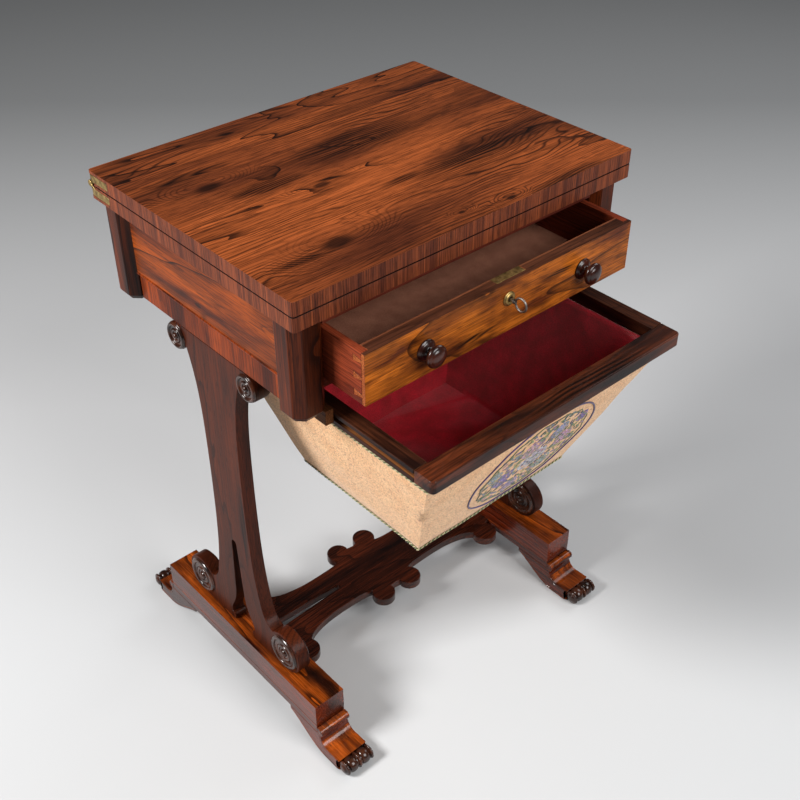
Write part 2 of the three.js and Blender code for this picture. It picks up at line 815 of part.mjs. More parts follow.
// End standards: a flat board with a scroll at each top corner, a volute at each foot and a
// tapered slot that opens at the bar between two small beads
function standardShape() {
  const half = standardWaist / 2;
  const top = standardHeight;
  const scrollZ = scrollHeight;
  const flareTop = scrollZ - flareDrop;
  const bead = slotBeadRadius;
  const shape = new THREE.Shape();
  const slotTip = slotHeight - slotTopRadius;
  shape.moveTo(slotBeadReach, 0);
  shape.lineTo(voluteReach, 0);
  shape.absarc(voluteReach, voluteRadius, voluteRadius, -0.5 * Math.PI, 0.78 * Math.PI, false);
  shape.quadraticCurveTo(half + 22, voluteRadius + 25, half + 15, voluteRadius + 44);
  shape.bezierCurveTo(half + 5, voluteRadius + 90, half, voluteRadius + 130, half - 1, top * 0.55);
  shape.bezierCurveTo(half - 1, top * 0.75, half, flareTop - 50, scrollReach - scrollRadius, flareTop);
  shape.absarc(scrollReach, scrollZ, scrollRadius, 1.13 * Math.PI, 2.5 * Math.PI, false);
  shape.lineTo(scrollReach, top);
  shape.lineTo(-scrollReach, top);
  shape.lineTo(-scrollReach, scrollZ + scrollRadius);
  shape.absarc(-scrollReach, scrollZ, scrollRadius, 0.5 * Math.PI, 1.87 * Math.PI, false);
  shape.bezierCurveTo(-half, flareTop - 50, 1 - half, top * 0.75, 1 - half, top * 0.55);
  shape.bezierCurveTo(
    -half, voluteRadius + 130, -half - 5, voluteRadius + 90, -half - 15, voluteRadius + 44,
  );
  const neck = 0.22 * Math.PI;
  const meetX = -voluteReach + voluteRadius * Math.cos(neck);
  const meetZ = voluteRadius + voluteRadius * Math.sin(neck);
  shape.quadraticCurveTo(-half - 22, voluteRadius + 25, meetX, meetZ);
  shape.absarc(-voluteReach, voluteRadius, voluteRadius, neck, 1.5 * Math.PI, false);
  shape.lineTo(-slotBeadReach, 0);
  shape.absarc(-slotBeadReach, bead, bead, -0.5 * Math.PI, 0.5 * Math.PI, false);
  const shoulder = slotShoulderReach;
  const rise = slotShoulderHeight;
  shape.bezierCurveTo(-slotBeadReach - 3, rise - 40, -12, rise / 2, -shoulder, rise);
  shape.lineTo(-slotTopRadius, slotTip);
  shape.absarc(0, slotTip, slotTopRadius, Math.PI, 0, true);
  shape.lineTo(shoulder, rise);
  shape.bezierCurveTo(12, rise / 2, slotBeadReach + 3, rise - 40, slotBeadReach, 2 * bead);
  shape.absarc(slotBeadReach, bead, bead, 0.5 * Math.PI, 1.5 * Math.PI, false);
  for (const side of [-1, 1]) {
    shape.holes.push(circle(voluteReach * side, voluteRadius, bossShankRadius + fit));
    shape.holes.push(circle(scrollReach * side, scrollZ, bossShankRadius + fit));
  }
  return shape;
}

function circle(x, y, radius) {
  const path = new THREE.Path();
  path.absarc(x, y, radius, 0, 2 * Math.PI, true);
  return path;
}

// A turned boss let through the board, with concentric rings and a button on both faces
function bossGeometry(radius) {
  const face = standardThickness / 2 + fit;
  const half = [
    [0, face + bossProud],
    [radius * 0.22, face + bossProud * 0.9],
    [radius * 0.3, face + bossProud * 0.4],
    [radius, face + bossProud * 0.6],
    [radius, face],
    [bossShankRadius, face],
  ];
  const mirrored = half.map(([r, along]) => [r, -along]).reverse();
  return turned([...half, ...mirrored].reverse(), "x", 16);
}

// Scroll foot in (distance out from the middle, height): bead, cove and a seat for the toe
function footShape(end) {
  const barEnd = barLength / 2 + fit;
  const top = barClearance - fit;
  const tail = barLength / 2 - footTail;
  const toeCentre = toeReach - toeRadius;
  const seat = toeRadius + fit;
  const outline = [[tail, top], [barEnd, top], [barEnd, top + 8.5]];
  const arc = (x, z, radius, from, to, steps) => {
    for (let i = 0; i <= steps; i++) {
      const angle = THREE.MathUtils.degToRad(from + ((to - from) * i) / steps);
      outline.push([x + radius * Math.cos(angle), z + radius * Math.sin(angle)]);
    }
  };
  arc(barEnd + 4.6, top + 2.9, footBeadRadius, 90, -80, 8);
  outline.push([barEnd + 6, top - 6.5]);
  arc(barEnd + 22, top - 4.6, footCoveRadius, 195, 282, 7);
  arc(toeCentre, seat, seat, 135, 258, 8);
  outline.push([toeCentre - 14, 0]);
  const sweep = new THREE.CubicBezierCurve(
    new THREE.Vector2(toeCentre - 40, 0),
    new THREE.Vector2(toeCentre - 66, 1),
    new THREE.Vector2(tail + 22, top - 13),
    new THREE.Vector2(tail + 1, top - 6.5),
  );
  for (const point of sweep.getPoints(10)) {
    outline.push([point.x, point.y]);
  }
  return polygon(outline.map(([y, z]) => [y * end, z]));
}

function toeGeometry() {
  const r = toeRadius;
  const half = barWidth / 2 + 1;
  const right = [
    [r, 1.7],
    [r - 3, 3.6],
    [r - 0.2, 10.5],
    [r - 3.6, 17.8],
    [r - 0.5, half - 3.6],
    [r - 0.5, half - 1],
    [r - 2.6, half],
    [0, half],
  ];
  const left = right.map(([radius, along]) => [radius, -along]).reverse();
  return turned([...left, ...right], "x", 12);
}

// Stretcher: one flat board, waisted arms with a tapered slot, a lobed cartouche and end lobes
function stretcherGeometry() {
  const z = [barClearance + stretcherRise, barClearance + stretcherRise + stretcherThickness];
  const end = barCentre - barWidth / 2 - fit;
  const half = stretcherWaist / 2;
  const lobeX = end - endLobeInset;
  const armEnd = endLobeY - 4;
  const board = new THREE.Shape();
  board.moveTo(0, -cartoucheLobeY);
  board.lineTo(cartoucheLobeX, -cartoucheLobeY);
  board.quadraticCurveTo(cartoucheLobeX + 20, -half, cartoucheLobeX + 70, -half);
  board.quadraticCurveTo(lobeX - 32, -half - 2, lobeX - 8, -armEnd);
  board.lineTo(end, -armEnd);
  board.lineTo(end, armEnd);
  board.lineTo(lobeX - 8, armEnd);
  board.quadraticCurveTo(lobeX - 32, half + 2, cartoucheLobeX + 70, half);
  board.quadraticCurveTo(cartoucheLobeX + 20, half, cartoucheLobeX, cartoucheLobeY);
  board.lineTo(0, cartoucheLobeY);
  const halfBoard = solidOf(upright(board, ...z));
  let whole = halfBoard.add(halfBoard.rotate([0, 0, 180]));
  const slot = new THREE.Shape();
  const slotFar = end - stretcherSlotInset;
  slot.absarc(stretcherSlotNear, 0, stretcherSlotNearRadius, 0.5 * Math.PI, 1.5 * Math.PI, false);
  slot.absarc(slotFar, 0, stretcherSlotFarRadius, -0.5 * Math.PI, 0.5 * Math.PI, false);
  const slotTool = solidOf(upright(slot, z[0] - 1, z[1] + 1));
  const disc = (x, y, radius) => solidOf(moved(rod(radius, "z", ...z), x, y, 0));
  for (const [sx, sy] of [[-1, -1], [-1, 1], [1, -1], [1, 1]]) {
    whole = whole.add(disc(cartoucheLobeX * sx, cartoucheLobeY * sy, cartoucheLobeRadius));
    whole = whole.add(disc(lobeX * sx, endLobeY * sy, endLobeRadius));
  }
  return geometryOf(whole.subtract(slotTool).subtract(slotTool.rotate([0, 0, 180])));
}

function makeBase(root) {
  const base = new THREE.Group();
  const standard = acrossX(standardShape(), -standardThickness / 2, standardThickness / 2, 8);
  const volute = bossGeometry(voluteRadius * 0.875);
  const scroll = bossGeometry(scrollRadius - 0.5);
  const toe = toeGeometry();
  const scrollZ = standardFoot + scrollHeight;
  for (const [label, side] of sides) {
    const x = standardCentre * side;
    piece(base, `standard_${label}`, standard, "rosewood", x, 0, standardFoot);
    const bar = slab(
      [-barWidth / 2, barWidth / 2],
      [-barLength / 2, barLength / 2],
      [barClearance, barTop],
    );
    piece(base, `foot_bar_${label}`, bar, "rosewood", barCentre * side);
    for (const [where, end] of ends) {
      const voluteZ = standardFoot + voluteRadius;
      const name = `${where}_${label}`;
      piece(base, `volute_boss_${name}`, volute, "ebonised", x, voluteReach * end, voluteZ);
      piece(base, `scroll_boss_${name}`, scroll, "ebonised", x, scrollReach * end, scrollZ);
      const foot = acrossX(footShape(end), -barWidth / 2, barWidth / 2);
      piece(base, `scroll_foot_${name}`, foot, "rosewood", barCentre * side);
      const toeY = (toeReach - toeRadius) * end;
      piece(base, `toe_bobbin_${name}`, toe, "ebonised", barCentre * side, toeY, toeRadius + fit);
    }
  }
  piece(base, "stretcher", stretcherGeometry(), "rosewood");
  root.add(base);
}

const table = new THREE.Group();
makeTop(table);
makeCase(table);
makeDrawer(table);
makeBagSlide(table);
makeBase(table);
const foremost = caseHalfDepth + slideOpen;
table.position.y = (foremost - toeReach) / 2;

export default table;
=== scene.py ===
import math
import random

import bmesh
import bpy
from mathutils import Matrix, Vector, geometry, noise
from mathutils.bvhtree import BVHTree


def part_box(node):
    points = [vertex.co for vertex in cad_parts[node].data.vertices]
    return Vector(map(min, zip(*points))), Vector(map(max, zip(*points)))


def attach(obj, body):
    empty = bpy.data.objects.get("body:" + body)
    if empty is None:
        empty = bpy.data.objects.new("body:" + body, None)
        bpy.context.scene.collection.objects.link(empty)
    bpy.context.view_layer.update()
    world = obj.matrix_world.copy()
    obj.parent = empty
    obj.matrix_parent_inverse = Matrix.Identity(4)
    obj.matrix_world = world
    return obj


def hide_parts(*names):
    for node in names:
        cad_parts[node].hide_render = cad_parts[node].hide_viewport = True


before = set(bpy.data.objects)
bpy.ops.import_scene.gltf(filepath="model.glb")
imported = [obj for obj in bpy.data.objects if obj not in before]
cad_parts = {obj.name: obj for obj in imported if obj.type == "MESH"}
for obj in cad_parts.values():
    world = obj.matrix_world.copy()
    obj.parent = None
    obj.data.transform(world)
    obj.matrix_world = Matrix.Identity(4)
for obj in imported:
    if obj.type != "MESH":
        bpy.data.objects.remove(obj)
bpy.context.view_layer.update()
scene = bpy.context.scene
MM = 0.001

# Studio
# Matt paper, painted pale about the table and grey far behind it as painted light falloff. A key
# softbox hangs on the left, a broad one in front and a weak one on the right, and the camera looks down from
# the front left.


def linear(code):
    """An sRGB hex colour as the linear colour that a socket takes."""
    channels = [int(code[i : i + 2], 16) / 255 for i in (1, 3, 5)]
    return tuple(c / 12.92 if c < 0.04045 else ((c + 0.055) / 1.055) ** 2.4 for c in channels) + (1,)


def add(material, kind, inputs=None, stops=None, **settings):
    """Adds one shader node. An input given as a socket is linked, and any other is set."""
    tree = material.node_tree
    made = tree.nodes.new("ShaderNode" + kind)
    for setting, value in settings.items():
        setattr(made, setting, value)
    for key, value in (inputs or {}).items():
        if isinstance(value, bpy.types.NodeSocket):
            tree.links.new(value, made.inputs[key])
        else:
            made.inputs[key].default_value = value
    if stops:
        ramp = made.color_ramp
        while len(ramp.elements) < len(stops):
            ramp.elements.new(0.5)
        for element, (place, colour) in zip(ramp.elements, stops):
            element.position = place
            element.color = colour
    return made


def blank(name):
    """A new material with an empty node tree, for the caller to fill."""
    material = bpy.data.materials.new(name)
    material.use_nodes = True
    material.node_tree.nodes.clear()
    return material


def surface(material, **inputs):
    """Ends a material with one Principled surface."""
    named = {key.replace("_", " "): value for key, value in inputs.items()}
    shader = add(material, "BsdfPrincipled", named)
    add(material, "OutputMaterial", {"Surface": shader.outputs[0]})
    return material


def mesh_of(name, bm):
    """Turns a bmesh into a mesh and frees it."""
    mesh = bpy.data.meshes.new(name)
    bm.to_mesh(mesh)
    bm.free()
    return mesh


def placed(name, data):
    """Puts a mesh, curve, light or camera into the scene as an object."""
    made = bpy.data.objects.new(name, data)
    scene.collection.objects.link(made)
    return made


PAPER_FADE = math.radians(-41.76)
PAPER_HALF, PAPER_DROP = 9, 0.5
PAPER_PAINTED_FALLOFF_TONES = ((0.0, "#c2c3c4"), (0.28, "#c4c5c6"), (0.5, "#c5c5c6"), (1.0, "#909192"))


def paper_with_painted_falloff():
    """Matt paper with painted light falloff: painted pale from one metre before the table, and painted grey
    two metres behind it.
    """
    material = blank("Paper, matt, with painted light falloff")
    place = add(material, "TexCoord").outputs["Object"]
    lined_up = {"Vector": place, "Rotation": (0, 0, -PAPER_FADE)}
    split = add(material, "SeparateXYZ", {0: add(material, "Mapping", lined_up).outputs[0]})
    far = add(material, "MapRange", {"Value": split.outputs[1], "From Min": -1.0, "From Max": 2.0})
    # Painted light falloff: the paper's colour runs from pale near the table to grey far behind it, in place
    # of the light dying away.
    stops = [(reach, linear(tone)) for reach, tone in PAPER_PAINTED_FALLOFF_TONES]
    tone = add(material, "ValToRGB", {0: far.outputs[0]}, stops=stops).outputs[0]
    mottle = add(material, "TexNoise", {"Vector": place, "Scale": 1.3, "Detail": 2.0}).outputs[0]
    rough = add(material, "MapRange", {"Value": mottle, "To Min": 0.85, "To Max": 0.95}).outputs[0]
    return surface(material, Base_Color=tone, Roughness=rough)


sheet = bmesh.new()
bmesh.ops.create_grid(sheet, x_segments=1, y_segments=1, size=PAPER_HALF)
floor = placed("studio_floor", mesh_of("studio_floor", sheet))
floor.data.materials.append(paper_with_painted_falloff())
floor.location.z = -PAPER_DROP * MM

# Each softbox is (name, place, size in metres, watts, colour), and all are aimed at one point.
LIT_POINT = Vector((0, 0, 0.45))
SOFTBOXES = [
    ("key_softbox", (-2.4, 0.65, 2.25), 0.9, 132, "#fffefd"),
    ("front_softbox", (0.3, -2.5, 2.2), 1.6, 78, "#ffffff"),
    ("right_softbox", (2.6, -0.2, 2.4), 1.6, 30, "#fbfdff"),
]
for label, place, size, power, tint in SOFTBOXES:
    light = bpy.data.lights.new(label, "AREA")
    light.size = size
    light.energy = power
    light.color = linear(tint)[:3]
    lamp = placed(label, light)
    lamp.location = place
    lamp.rotation_euler = (LIT_POINT - Vector(place)).to_track_quat("-Z", "Y").to_euler()

world = bpy.data.worlds.new("studio_air")
world.use_nodes = True
air = world.node_tree.nodes["Background"].inputs
air["Color"].default_value = linear("#c6c8cb")
air["Strength"].default_value = 0.1
scene.world = world
scene.view_settings.view_transform = "Standard"

CAMERA_PLACE = (-0.7877, -0.8963, 1.3150)
CAMERA_YAW, CAMERA_PITCH, CAMERA_ROLL = 41.76, -37.41, -0.10
CAMERA_LENS, CAMERA_SENSOR = 50.36, 36
camera_data = bpy.data.cameras.new("camera")
camera_data.sensor_width = CAMERA_SENSOR
camera_data.lens = CAMERA_LENS
camera = placed("camera", camera_data)
camera.location = CAMERA_PLACE
turn = Matrix.Rotation(math.radians(-CAMERA_YAW), 3, "Z")
tilt = Matrix.Rotation(math.radians(90 + CAMERA_PITCH), 3, "X")
roll = Matrix.Rotation(math.radians(CAMERA_ROLL), 3, "Z")
camera.rotation_euler = (turn @ tilt @ roll).to_euler()
scene.camera = camera

# Fold-over top
# Two rosewood-veneered leaves, each in three widths that run along the table, with cross-banded
# edges. Their arrises are rubbed round, so that each carries a thin highlight.

GRAIN = {"x": (0, 0, 0), "y": (0, 0, -math.pi / 2), "z": (0, math.pi / 2, 0)}
X, Y, Z = Vector((1, 0, 0)), Vector((0, 1, 0)), Vector((0, 0, 1))


# Noise cells in a metre, along and across the grain. Fibre and pores are drawn coarser than life.
SLOW_CELLS, FIGURE_CELLS, FIBRE_CELLS, PORE_CELLS = (2.6, 11), (2.0, 8), (12, 700), (60, 1100)
FIGURE_BANDS, CREST_POWER, FIBRE_SHARE, PORE_SHARE = 9.0, 4.0, 0.9, 0.5


def wood(name, grain, light, dark, vein, line, wander, polish, ink=0.7, fade=0.55,
         tone=(1.6, 7), seams=(), knots=(), hearts=()):
    """A polished wood. Growth lines, line mm apart, wander round a slow noise and close into loops
    where wander is large. Ink is the strength of the black figure, whose bands are sharp on one
    side and fade on the other. Tone is the ground's noise cells in a metre. A seam is (place across
    the grain, change of figure), a knot is (x, y, z, size, rings) and a dark heart is (x, y, z,
    length, width), in metres with x along the grain."""
    material = blank(name)
    place = add(material, "TexCoord").outputs["Object"]
    turned = add(material, "Mapping", {"Vector": place, "Rotation": GRAIN[grain]}).outputs[0]
    split = add(material, "SeparateXYZ", {0: turned})
    eased = {"interpolation_type": "SMOOTHSTEP"}

    def value(kind, *inputs, **settings):
        """The first output of a new node, whose inputs are given in the node's own order."""
        return add(material, kind, dict(enumerate(inputs)), **settings).outputs[0]

    def stretched(cells, detail, extra=0.0, distortion=0.0):
        scale = (cells[0], cells[1], cells[1])
        scaled = add(material, "Mapping", {"Vector": turned, "Scale": scale}).outputs[0]
        inputs = {"Vector": scaled, "W": extra, "Scale": 1.0, "Detail": detail, "Distortion": distortion}
        return add(material, "TexNoise", inputs, noise_dimensions="4D").outputs[0]

    def nearness(x, y, z, length, width, rim):
        centred = {
            "Vector": turned,
            "Location": (-x / length, -y / width, -z / width),
            "Scale": (1 / length, 1 / width, 1 / width),
        }
        away = add(material, "Mapping", centred).outputs[0]
        radius = add(material, "VectorMath", {0: away}, operation="LENGTH").outputs["Value"]
        ragged = value("Math", slow, rim, radius, operation="MULTIPLY_ADD")
        return value("MapRange", ragged, 0.3 + rim / 2, 1 + rim / 2, 1.0, 0.0, **eased)

    leaf = 0.0
    for at, change in seams:
        beyond = value("Math", split.outputs[1], at, operation="GREATER_THAN")
        leaf = value("Math", beyond, change, leaf, operation="MULTIPLY_ADD")
    slow = stretched(SLOW_CELLS, 2.0, leaf, 0.5)
    across = value("Math", split.outputs[2], 0.7, split.outputs[1], operation="MULTIPLY_ADD")
    phase = value("Math", across, 2 * math.pi / (line * MM), operation="MULTIPLY")
    phase = value("Math", slow, wander, phase, operation="MULTIPLY_ADD")
    for x, y, z, size, rings in knots:
        near = nearness(x, y, z, size * 2.2, size, 0.3)
        phase = value("Math", near, rings * 2 * math.pi, phase, operation="MULTIPLY_ADD")
    swing = value("Math", phase, operation="SINE")
    wave = value("Math", swing, 0.5, 0.5, operation="MULTIPLY_ADD")
    crests = value("Math", wave, CREST_POWER, operation="POWER")
    shown = value("MapRange", stretched((3, 16), 2.0, leaf), 0.4, 0.6, 0.15, fade, **eased)
    lines = value("Math", crests, shown, operation="MULTIPLY")

    figure_seed = value("Math", leaf, 4.0, operation="ADD")
    figure = stretched(FIGURE_CELLS, 3.0, figure_seed, 0.9)
    banded = value("Math", figure, FIGURE_BANDS, operation="MULTIPLY")
    past_edge = value("Math", banded, operation="FRACT")
    sharp = value("MapRange", past_edge, 0.03, 0.16, 0.5, 0.0, **eased)
    faded = value("MapRange", past_edge, 0.05, 0.8, 0.45, 0.0, **eased)
    edge = value("MapRange", past_edge, 0.0, 0.008, 0.0, ink, **eased)
    patch_seed = value("Math", leaf, 8.0, operation="ADD")
    patches = value("MapRange", stretched((2.2, 9), 1.0, patch_seed), 0.38, 0.52, **eased)
    bands = value("Math", sharp, faded, operation="ADD")
    bands = value("Math", bands, edge, operation="MULTIPLY")
    bands = value("Math", bands, patches, operation="MULTIPLY")
    lines = value("Math", lines, bands, operation="MAXIMUM")

    fine = value("MapRange", stretched((3, 90), 3.0, leaf), 0.36, 0.58, **eased)
    streaks = value("Math", fine, 0.3, 0.25, operation="MULTIPLY_ADD")
    streaks = value("Math", wave, 0.5, streaks, operation="MULTIPLY_ADD")
    for x, y, z, length, width in hearts:
        heart = value("Math", nearness(x, y, z, length, width, 1.8), streaks, operation="MULTIPLY")
        lines = value("Math", lines, heart, operation="MAXIMUM")
    for x, y, z, size, rings in knots:
        eye = value("Math", nearness(x, y, z, size * 0.7, size * 0.35, 0.3), 0.85, operation="MULTIPLY")
        lines = value("Math", lines, eye, operation="MAXIMUM")

    stops = [(0.36, linear(dark)), (0.6, linear(light))]
    ground = add(material, "ValToRGB", {0: stretched(tone, 4.0, leaf, 0.6)}, stops=stops).outputs[0]
    inputs = {0: lines, 6: ground, 7: linear(vein)}
    veined = add(material, "Mix", inputs, data_type="RGBA").outputs[2]
    fibre = stretched(FIBRE_CELLS, 2.0)
    inputs = {0: FIBRE_SHARE, 6: veined, 7: value("MapRange", fibre, 0.3, 0.7, 0.55, 1.35, **eased)}
    fibred = add(material, "Mix", inputs, data_type="RGBA", blend_type="MULTIPLY").outputs[2]
    pore = value("MapRange", stretched(PORE_CELLS, 0.0), 0.58, 0.7, **eased)
    inputs = {0: value("Math", pore, PORE_SHARE, operation="MULTIPLY"), 6: fibred, 7: linear(vein)}
    colour = add(material, "Mix", inputs, data_type="RGBA").outputs[2]

    roughness = value("Math", fibre, 0.15, 0.47 - 0.22 * polish, operation="MULTIPLY_ADD")
    raised = value("Math", fibre, 0.5, operation="MULTIPLY")
    relief = value("Math", pore, -1.0, raised, operation="MULTIPLY_ADD")
    bump = add(material, "Bump", {"Height": relief, "Strength": 0.25, "Distance": 0.0002}).outputs[0]
    return surface(
        material, Base_Color=colour, Roughness=roughness, Normal=bump,
        Specular_IOR_Level=0.16 * polish, Coat_Weight=0.16 * polish**3, Coat_Roughness=0.07,
    )


# The top's three widths meet at two seams. The dark hearts and the eyes are this tree's own.
top_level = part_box("upper_leaf")[1].z
top_veneer = wood(
    "Rosewood veneer, French polished, along the top", "x", "#974c24", "#522614", "#0d0504",
    line=6, wander=130, polish=0.9, ink=1.0, fade=0.85, tone=(2.2, 12),
    seams=((0.04, 3.1), (0.164, 5.7)),
    knots=(
        (-0.007, -0.124, top_level, 0.012, 4),
        (0.059, -0.136, top_level, 0.017, 4),
        (-0.15, -0.085, top_level, 0.045, 8),
        (-0.18, 0.11, top_level, 0.04, 8),
        (-0.08, 0.03, top_level, 0.03, 6),
    ),
    hearts=(
        (0.1, -0.024, top_level, 0.15, 0.045),
        (0.03, 0.1, top_level, 0.15, 0.04),
        (0.14, -0.148, top_level, 0.09, 0.02),
        (-0.19, 0.15, top_level, 0.08, 0.014),
        (-0.13, 0.07, top_level, 0.07, 0.02),
        (0.0, -0.02, top_level, 0.06, 0.014),
        (-0.2, -0.09, top_level, 0.04, 0.008),
    ),
)
crossband = wood(
    "Rosewood cross-banding, French polished", "z", "#7e3f24", "#582a1b", "#1f0e0a",
    line=2.3, wander=16, polish=0.6, ink=0.0, fade=0.55, tone=(3, 120),
)


def cad_copy(node):
    """A copy of a CAD node with its triangles merged back into whole flat faces."""
    bm = bmesh.new()
    bm.from_mesh(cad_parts[node].data)
    bmesh.ops.remove_doubles(bm, verts=bm.verts, dist=1e-5)
    bmesh.ops.dissolve_limit(bm, angle_limit=math.radians(1), verts=bm.verts, edges=bm.edges)
    return bm


def rounded(bm, edges, width, segments):
    """Rounds some arrises to a width in metres."""
    bmesh.ops.bevel(
        bm, geom=edges, offset=width, offset_type="OFFSET", segments=segments, profile=0.5,
        affect="EDGES", clamp_overlap=True, material=-1,
    )
    return bm


def soften(bm, width, corner=35, segments=2):
    """Rounds every arris sharper than corner degrees, as rubbing down and polishing does."""
    sharp = [
        edge for edge in bm.edges
        if len(edge.link_faces) == 2 and edge.calc_face_angle() > math.radians(corner)
    ]
    return rounded(bm, sharp, width, segments)


def piece(name, bm, body, slot, materials, nodes=(), choose=None, crease=38, flat=True):
    """Makes a piece that rides on a CAD body and stands for CAD nodes. choose gives the number of
    a face's material from its middle and its normal. Flat pieces are shaded by their large faces."""
    bm.normal_update()
    if choose:
        for face in bm.faces:
            face.material_index = choose(face.calc_center_median(), face.normal)
    mesh = mesh_of(name, bm)
    for material in materials:
        mesh.materials.append(material)
    mesh.polygons.foreach_set("use_smooth", [True] * len(mesh.polygons))
    mesh.set_sharp_from_angle(angle=math.radians(crease))
    made = placed(name, mesh)
    if flat:
        shading = made.modifiers.new("even_shading", "WEIGHTED_NORMAL")
        shading.keep_sharp = True
        shading.weight = 100
    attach(made, body)
    if nodes:
        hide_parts(*nodes)
    return made


# Painted shade: the arrises where the two leaves meet are coloured nearly black for the shadow in the gap
# between them.
joint_painted_shade = wood(
    "Rosewood, painted dark as shade between the leaves", "x", "#2a120b", "#180a07", "#0a0403",
    line=6, wander=20, polish=0.5, ink=0.0,
)
leaf_joint = (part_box("upper_leaf")[0].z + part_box("lower_leaf")[1].z) / 2
JOINT_ARRIS, EDGE_ARRIS = 2.6, 1.3


def leaf_faces(middle, normal):
    """Flat faces are veneered, edges are cross-banded, and the meeting arrises are painted dark as the shade
    in the gap between the leaves.
    """
    if abs(middle.z - leaf_joint) < JOINT_ARRIS * MM and 0.3 < abs(normal.z) < 0.99:
        return 2
    return int(abs(normal.z) < 0.5)


for leaf_name, leaf_body in (("lower_leaf", "top"), ("upper_leaf", "flap")):
    leaf = cad_copy(leaf_name)
    meeting = [
        edge for edge in leaf.edges
        if all(abs(vert.co.z - leaf_joint) < 0.5 * MM for vert in edge.verts)
        and edge.calc_face_angle() > 1
    ]
    soften(rounded(leaf, meeting, JOINT_ARRIS * MM, 4), EDGE_ARRIS * MM, corner=60, segments=3)
    woods = [top_veneer, crossband, joint_painted_shade]
    piece(f"veneered_{leaf_name}", leaf, leaf_body, "rosewood_top", woods, [leaf_name], leaf_faces)

# Brass fittings
# Hinge plates of cast brass let into the leaves' end edges with countersunk screws, and the
# swivel bolt. The brass is old and has dulled, with brighter rubbed places.


def old_metal(name, bright, dull, roughness):
    """A metal with a broken tarnish film: bright where it is rubbed, rough where it is dull."""
    material = blank(name)
    place = add(material, "TexCoord").outputs["Object"]
    film = add(material, "TexNoise", {"Vector": place, "Scale": 140.0, "Detail": 4.0}).outputs[0]
    stops = [(0.36, linear(bright)), (0.66, linear(dull))]
    colour = add(material, "ValToRGB", {0: film}, stops=stops).outputs[0]
    inputs = {"Value": film, "To Min": roughness - 0.08, "To Max": roughness + 0.2}
    rough = add(material, "MapRange", inputs).outputs[0]
    scratch = add(material, "TexNoise", {"Vector": place, "Scale": 900.0, "Detail": 1.0}).outputs[0]
    bump = add(material, "Bump", {"Height": scratch, "Strength": 0.15, "Distance": 0.0001}).outputs[0]
    return surface(material, Base_Color=colour, Metallic=1.0, Roughness=rough, Normal=bump)


brass = old_metal("Brass, cast and lacquer worn", "#c4a668", "#6e5a34", 0.4)
steel = old_metal("Steel, filed and handled", "#9a938c", "#5b534d", 0.38)


def turned_piece(profile, centre, axis, steps=48):
    """Spins a profile of (radius, distance along the axis), in millimetres, a full turn."""
    side = Z if axis != Z else X
    bm = bmesh.new()
    verts = [bm.verts.new(centre + side * (radius * MM) + axis * (along * MM)) for radius, along in profile]
    edges = [bm.edges.new(pair) for pair in zip(verts, verts[1:])]
    bmesh.ops.spin(
        bm, geom=verts + edges, cent=centre, axis=axis, angle=2 * math.pi, steps=steps, use_merge=True,
    )
    bmesh.ops.remove_doubles(bm, verts=bm.verts, dist=1e-6)
    bmesh.ops.recalc_face_normals(bm, faces=bm.faces)
    return bm


def bead(radius, along, half_width, height, steps=8):
    """A half-round ring of a turned profile, as (radius, distance) points on its face."""
    points = []
    for i in range(steps + 1):
        angle = math.pi * i / steps
        points.append((radius - half_width * math.cos(angle), along + height * math.sin(angle)))
    return points


def screws(bm, centres, axis, radius):
    """Adds countersunk screw heads, each a shallow dome that stands a hair proud."""
    profile = [(0, 0.25), (radius * 0.75, 0.2), (radius, 0), (radius, -0.4), (0, -0.4)]
    for centre in centres:
        head = mesh_of("screw", turned_piece(profile, centre, axis, steps=16))
        bm.from_mesh(head)
        bpy.data.meshes.remove(head)


# The screws stand off the middle of their plate, away from the joint, and behind its front end.
SCREW_OFFSET, SCREW_REACHES, SCREW_RADIUS = 1.5, (7, 24), 2.2
for level, body, off_joint in (("lower", "top", -SCREW_OFFSET), ("upper", "flap", SCREW_OFFSET)):
    for side, sign in (("left", -1), ("right", 1)):
        name = f"hinge_plate_{level}_{side}"
        low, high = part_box(name)
        plate = soften(cad_copy(name), 0.2 * MM, segments=1)
        face = sign * max(abs(low.x), abs(high.x))
        height = (low.z + high.z) / 2 + off_joint * MM
        centres = [Vector((face, low.y + reach * MM, height)) for reach in SCREW_REACHES]
        screws(plate, centres, X * sign, SCREW_RADIUS)
        piece(f"brass_{name}", plate, body, "brass", [brass], [name])
bolt = soften(cad_copy("pivot_bolt"), 0.5 * MM)
piece("swivel_bolt", bolt, "top", "brass", [brass], ["pivot_bolt"])

# Case
# Solid rosewood posts, eight-sided with their toes pared in, end panels of bright figured veneer
# over a bead and a plain rail, and a rosewood back. The rails and runners within are mahogany and
# beech.

post_wood = wood(
    "Rosewood, solid, polished, upright", "z", "#5c2409", "#1e0a05", "#0a0403",
    line=9, wander=60, polish=0.7, ink=0.9, fade=0.6, tone=(3, 22),
    hearts=((0.635, -0.11, 0.235, 0.03, 0.012),),
)
rail_wood = wood(
    "Rosewood, cross-banded on the end rails", "z", "#86360c", "#451706", "#1a0804",
    line=6, wander=40, polish=0.6, ink=0.4, fade=0.5, tone=(4, 30),
)
panel_veneer = wood(
    "Rosewood veneer, figured, front to back", "y", "#964206", "#4a1904", "#160703",
    line=13, wander=90, polish=0.7, ink=1.0, fade=0.5, tone=(3.4, 26),
    hearts=((0.09, 0.243, 0.656, 0.09, 0.014), (-0.12, 0.243, 0.67, 0.06, 0.02)),
)
front_wood = wood(
    "Rosewood, solid, polished, side to side", "x", "#5e2b1c", "#2e120d", "#120706",
    line=8, wander=50, polish=0.7, tone=(2, 14),
)
